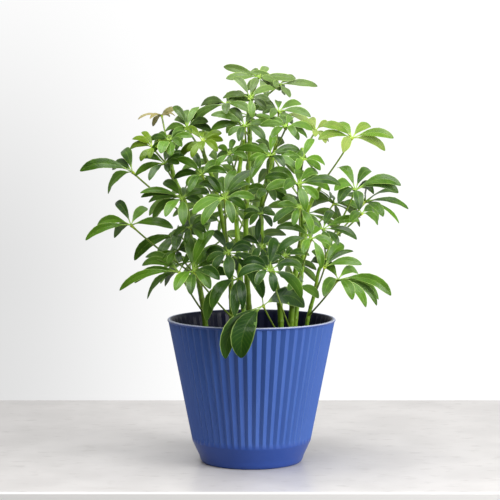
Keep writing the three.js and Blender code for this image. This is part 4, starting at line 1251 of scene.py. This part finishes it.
leaf_nodes = leaf_tree()
leaflet_skin = leaflet_shell()
mature_finishes = (blade_finish("mature_blade", MATURE_ROUGHNESS, LEAF_DEEP, LEAF_MID, LEAF_NEW_GROWTH_AND_SHEEN,
                                LEAF_RIB, LEAF_EDGE_HIGHLIGHT),
                   under_finish("mature_underside", LEAF_UNDER, LEAF_RIB))
young_finishes = (blade_finish("young_blade", YOUNG_ROUGHNESS, YOUNG_DEEP, YOUNG_MID, YOUNG_MID,
                               YOUNG_RIB, YOUNG_RIB),
                  under_finish("young_underside", YOUNG_UNDER, YOUNG_RIB))
half_grown_finishes = (blade_finish("half_grown_blade", YOUNG_ROUGHNESS, HALF_GROWN_DEEP, HALF_GROWN_MID,
                                    HALF_GROWN_MID, YOUNG_RIB, YOUNG_RIB),
                       under_finish("half_grown_underside", HALF_GROWN_UNDER, YOUNG_RIB))
bud_finishes = (blade_finish("bud_blade", BUD_ROUGHNESS, BUD_BROWN, BUD_TAN, BUD_TAN, BUD_TAN, BUD_TAN),
                under_finish("bud_underside", BUD_TAN, BUD_BROWN))
# The newest leaf, which is still tan, and two half-grown ones, by number
odd_finishes = {1: bud_finishes, 2: half_grown_finishes, 12: half_grown_finishes}
leaf_stalk = stalk_finish()


def leaf_piece(number, leaf, plan):
    finishes = odd_finishes.get(number, young_finishes if leaf.get("young") else mature_finishes)
    piece = grown(f"umbrella_leaf_{number:02d}", leaf_source(plan, number), leaf_nodes, {
        **BLADE_SIZES,
        "Breadth": BLADE_SIZES["Breadth"] * LEAF_BREADTHS.get(number, 1),
        "Leaflet Shell": leaflet_skin,
        "Stalk Sides": STALK_SIDES,
        "Top Finish": finishes[0],
        "Under Finish": finishes[1],
        "Stalk Finish": leaf_stalk,
    })
    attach(piece, "root")
    return piece


for number, leaf in enumerate(LEAVES, start=1):
    node = f"leaf_{number:02d}"
    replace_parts(leaf_piece(number, leaf, placed_plan(leaf, number, node)), node)
for number, leaf in enumerate(INNER_LEAVES, start=len(LEAVES) + 1):
    leaf_piece(number, leaf, leaf_plan(leaf, 0, number, cane_curves[leaf["cane"]], finer=True))
bpy.data.objects.remove(leaflet_skin)

# Table
# A plain pale slab with a satin, cloudy mineral finish and rounded edges, on which the pot stands.
# Its front edge shows just below the pot. It ends a little way behind it, where the white room begins.
TABLE_BACK = 453 * MM
TABLE_FRONT = -184 * MM
TABLE_REACH = 1.7
TABLE_THICKNESS = 30 * MM
TABLE_EDGE = 2.5 * MM
TABLE_EDGE_FACES = 4
TABLE_PALE = (202, 199, 197)
TABLE_GREY = (193, 190, 188)
TABLE_SMUDGE = (172, 168, 165)
# Painted light: the slab's front face is paler than its top
TABLE_FRONT_PAINTED_LIGHT = (238, 236, 234)
TABLE_ROUGHNESS = 0.3
TABLE_GLOSS = 0.4
TABLE_CLOUDS = dict(scale=13, detail=8)
TABLE_CLOUD_STEP = (0.36, 0.66)
TABLE_SMUDGES = dict(scale=70, detail=8, stretch=(0.6, 1, 1))
TABLE_SMUDGE_STEP = (0.55, 0.75, 0, 0.6)
TABLE_FRONT_PAINTED_LIGHT_STEP = (TABLE_FRONT, TABLE_FRONT + TABLE_EDGE, 1, 0)
# Painted shade: the slab is darker towards the left
TABLE_PAINTED_SHADE_LEFT_STEP = (-0.5, 0, 0.82, 1)

slab = bmesh.new()
bmesh.ops.create_cube(slab, size=1)
bmesh.ops.scale(slab, vec=(2 * TABLE_REACH, TABLE_BACK - TABLE_FRONT, TABLE_THICKNESS), verts=slab.verts)
bmesh.ops.translate(slab, vec=(0, (TABLE_BACK + TABLE_FRONT) / 2, -TABLE_THICKNESS / 2), verts=slab.verts)
bmesh.ops.bevel(slab, geom=slab.edges[:], offset=TABLE_EDGE, segments=TABLE_EDGE_FACES, profile=0.5,
                affect="EDGES")
table_mesh = bpy.data.meshes.new("table")
slab.to_mesh(table_mesh)
slab.free()
table = mesh_object("table", table_mesh)
table_finish, slab_nodes, slab_shader = material_nodes("table_finish", TABLE_ROUGHNESS, TABLE_GLOSS)
cloudy = slab_nodes.ramp(noise(slab_nodes, **TABLE_CLOUDS), *TABLE_CLOUD_STEP)
smudged = slab_nodes.ramp(noise(slab_nodes, **TABLE_SMUDGES), *TABLE_SMUDGE_STEP)
slab_x, slab_y, _ = slab_nodes.parts(object_place(slab_nodes))
slab_colour = slab_nodes.blend(smudged, slab_nodes.blend(cloudy, TABLE_GREY, TABLE_PALE), TABLE_SMUDGE)
# Painted shade: the colour darkens towards the left
slab_colour = slab_nodes.vector("SCALE", slab_colour, slab_nodes.ramp(slab_x, *TABLE_PAINTED_SHADE_LEFT_STEP))
# Painted light: the front face turns paler
slab_colour = slab_nodes.blend(slab_nodes.ramp(slab_y, *TABLE_FRONT_PAINTED_LIGHT_STEP), slab_colour, TABLE_FRONT_PAINTED_LIGHT)
slab_nodes.fed(slab_shader, Base_Color=slab_colour)
table_mesh.materials.append(table_finish)

# Light
# A bright white room: a large window to the right and in front, a softer ceiling, and white walls
# that are a little dimmer to the left.
WINDOW_DIRECTION = Vector((0.82, -0.57, 0.34)).normalized()
WINDOW_DISTANCE = 1.7
WINDOW_SIZE = (0.9, 1.0)
WINDOW_POWER = 29
CEILING_PLACE = (-0.18, -0.28, 1.6)
CEILING_SIZE = (1.4, 1.4)
CEILING_POWER = 35
AIM = Vector((0, 0, 0.22))
# How bright the room is by direction: in front, behind, and as the camera sees it
ROOM_FRONT_STEP = (-0.7, 0.8, 0.1, 0.55)
ROOM_BEHIND_STEP = (-1, 0.2, 0.25, 0.6)
ROOM_TURN_STEP = (-0.2, 0.35)
BACKDROP = 1.04
BACKDROP_SHADE = 0.3
BACKDROP_LEFT_STEP = (-0.15, 0, 1, 0)
BACKDROP_LOW_STEP = (-0.1, 0.1, 1, 0.15)


def area_light(name, place, size, power):
    lamp = bpy.data.lights.new(name, "AREA")
    lamp.shape = "RECTANGLE"
    lamp.size, lamp.size_y = size
    lamp.energy = power
    light = bpy.data.objects.new(name, lamp)
    bpy.context.scene.collection.objects.link(light)
    light.location = place
    light.rotation_mode = "QUATERNION"
    light.rotation_quaternion = (AIM - Vector(place)).to_track_quat("-Z", "Y")


area_light("window", AIM + WINDOW_DIRECTION * WINDOW_DISTANCE, WINDOW_SIZE, WINDOW_POWER)
area_light("ceiling", CEILING_PLACE, CEILING_SIZE, CEILING_POWER)

world = bpy.data.worlds.new("white_room")
world.use_nodes = True
bpy.context.scene.world = world
sky = Nodes(world.node_tree)
rightward, backward, upward = sky.parts(sky.new("ShaderNodeTexCoord").outputs["Generated"])
front = sky.ramp(rightward, *ROOM_FRONT_STEP)
behind = sky.ramp(rightward, *ROOM_BEHIND_STEP)
room = sky.mix(sky.ramp(backward, *ROOM_TURN_STEP), front, behind)
left = sky.ramp(rightward, *BACKDROP_LEFT_STEP)
shade = sky.times(left, sky.ramp(upward, *BACKDROP_LOW_STEP), BACKDROP_SHADE)
seen = sky.new("ShaderNodeLightPath").outputs["Is Camera Ray"]
strength = sky.mix(seen, room, sky.math("SUBTRACT", BACKDROP, shade))
sky.fed(sky.tree.nodes["Background"], Color=(1, 1, 1, 1), Strength=strength)
bpy.context.scene.view_settings.view_transform = "Standard"

# Camera
# A long lens level with the crown, straight in front, looking a little down.
LENS = 133.2
SENSOR_WIDTH = 36
PITCH_DOWN = math.radians(4.48)
AXIS_SHIFT = -0.003

camera = bpy.data.objects.new("camera", bpy.data.cameras.new("camera"))
bpy.context.scene.collection.objects.link(camera)
camera.data.lens = LENS
camera.data.sensor_width = SENSOR_WIDTH
camera.data.shift_x = AXIS_SHIFT
camera.location = (0, -VIEW_DISTANCE * MM, VIEW_HEIGHT * MM)
camera.rotation_euler = (math.pi / 2 - PITCH_DOWN, 0, 0)
bpy.context.scene.camera = camera
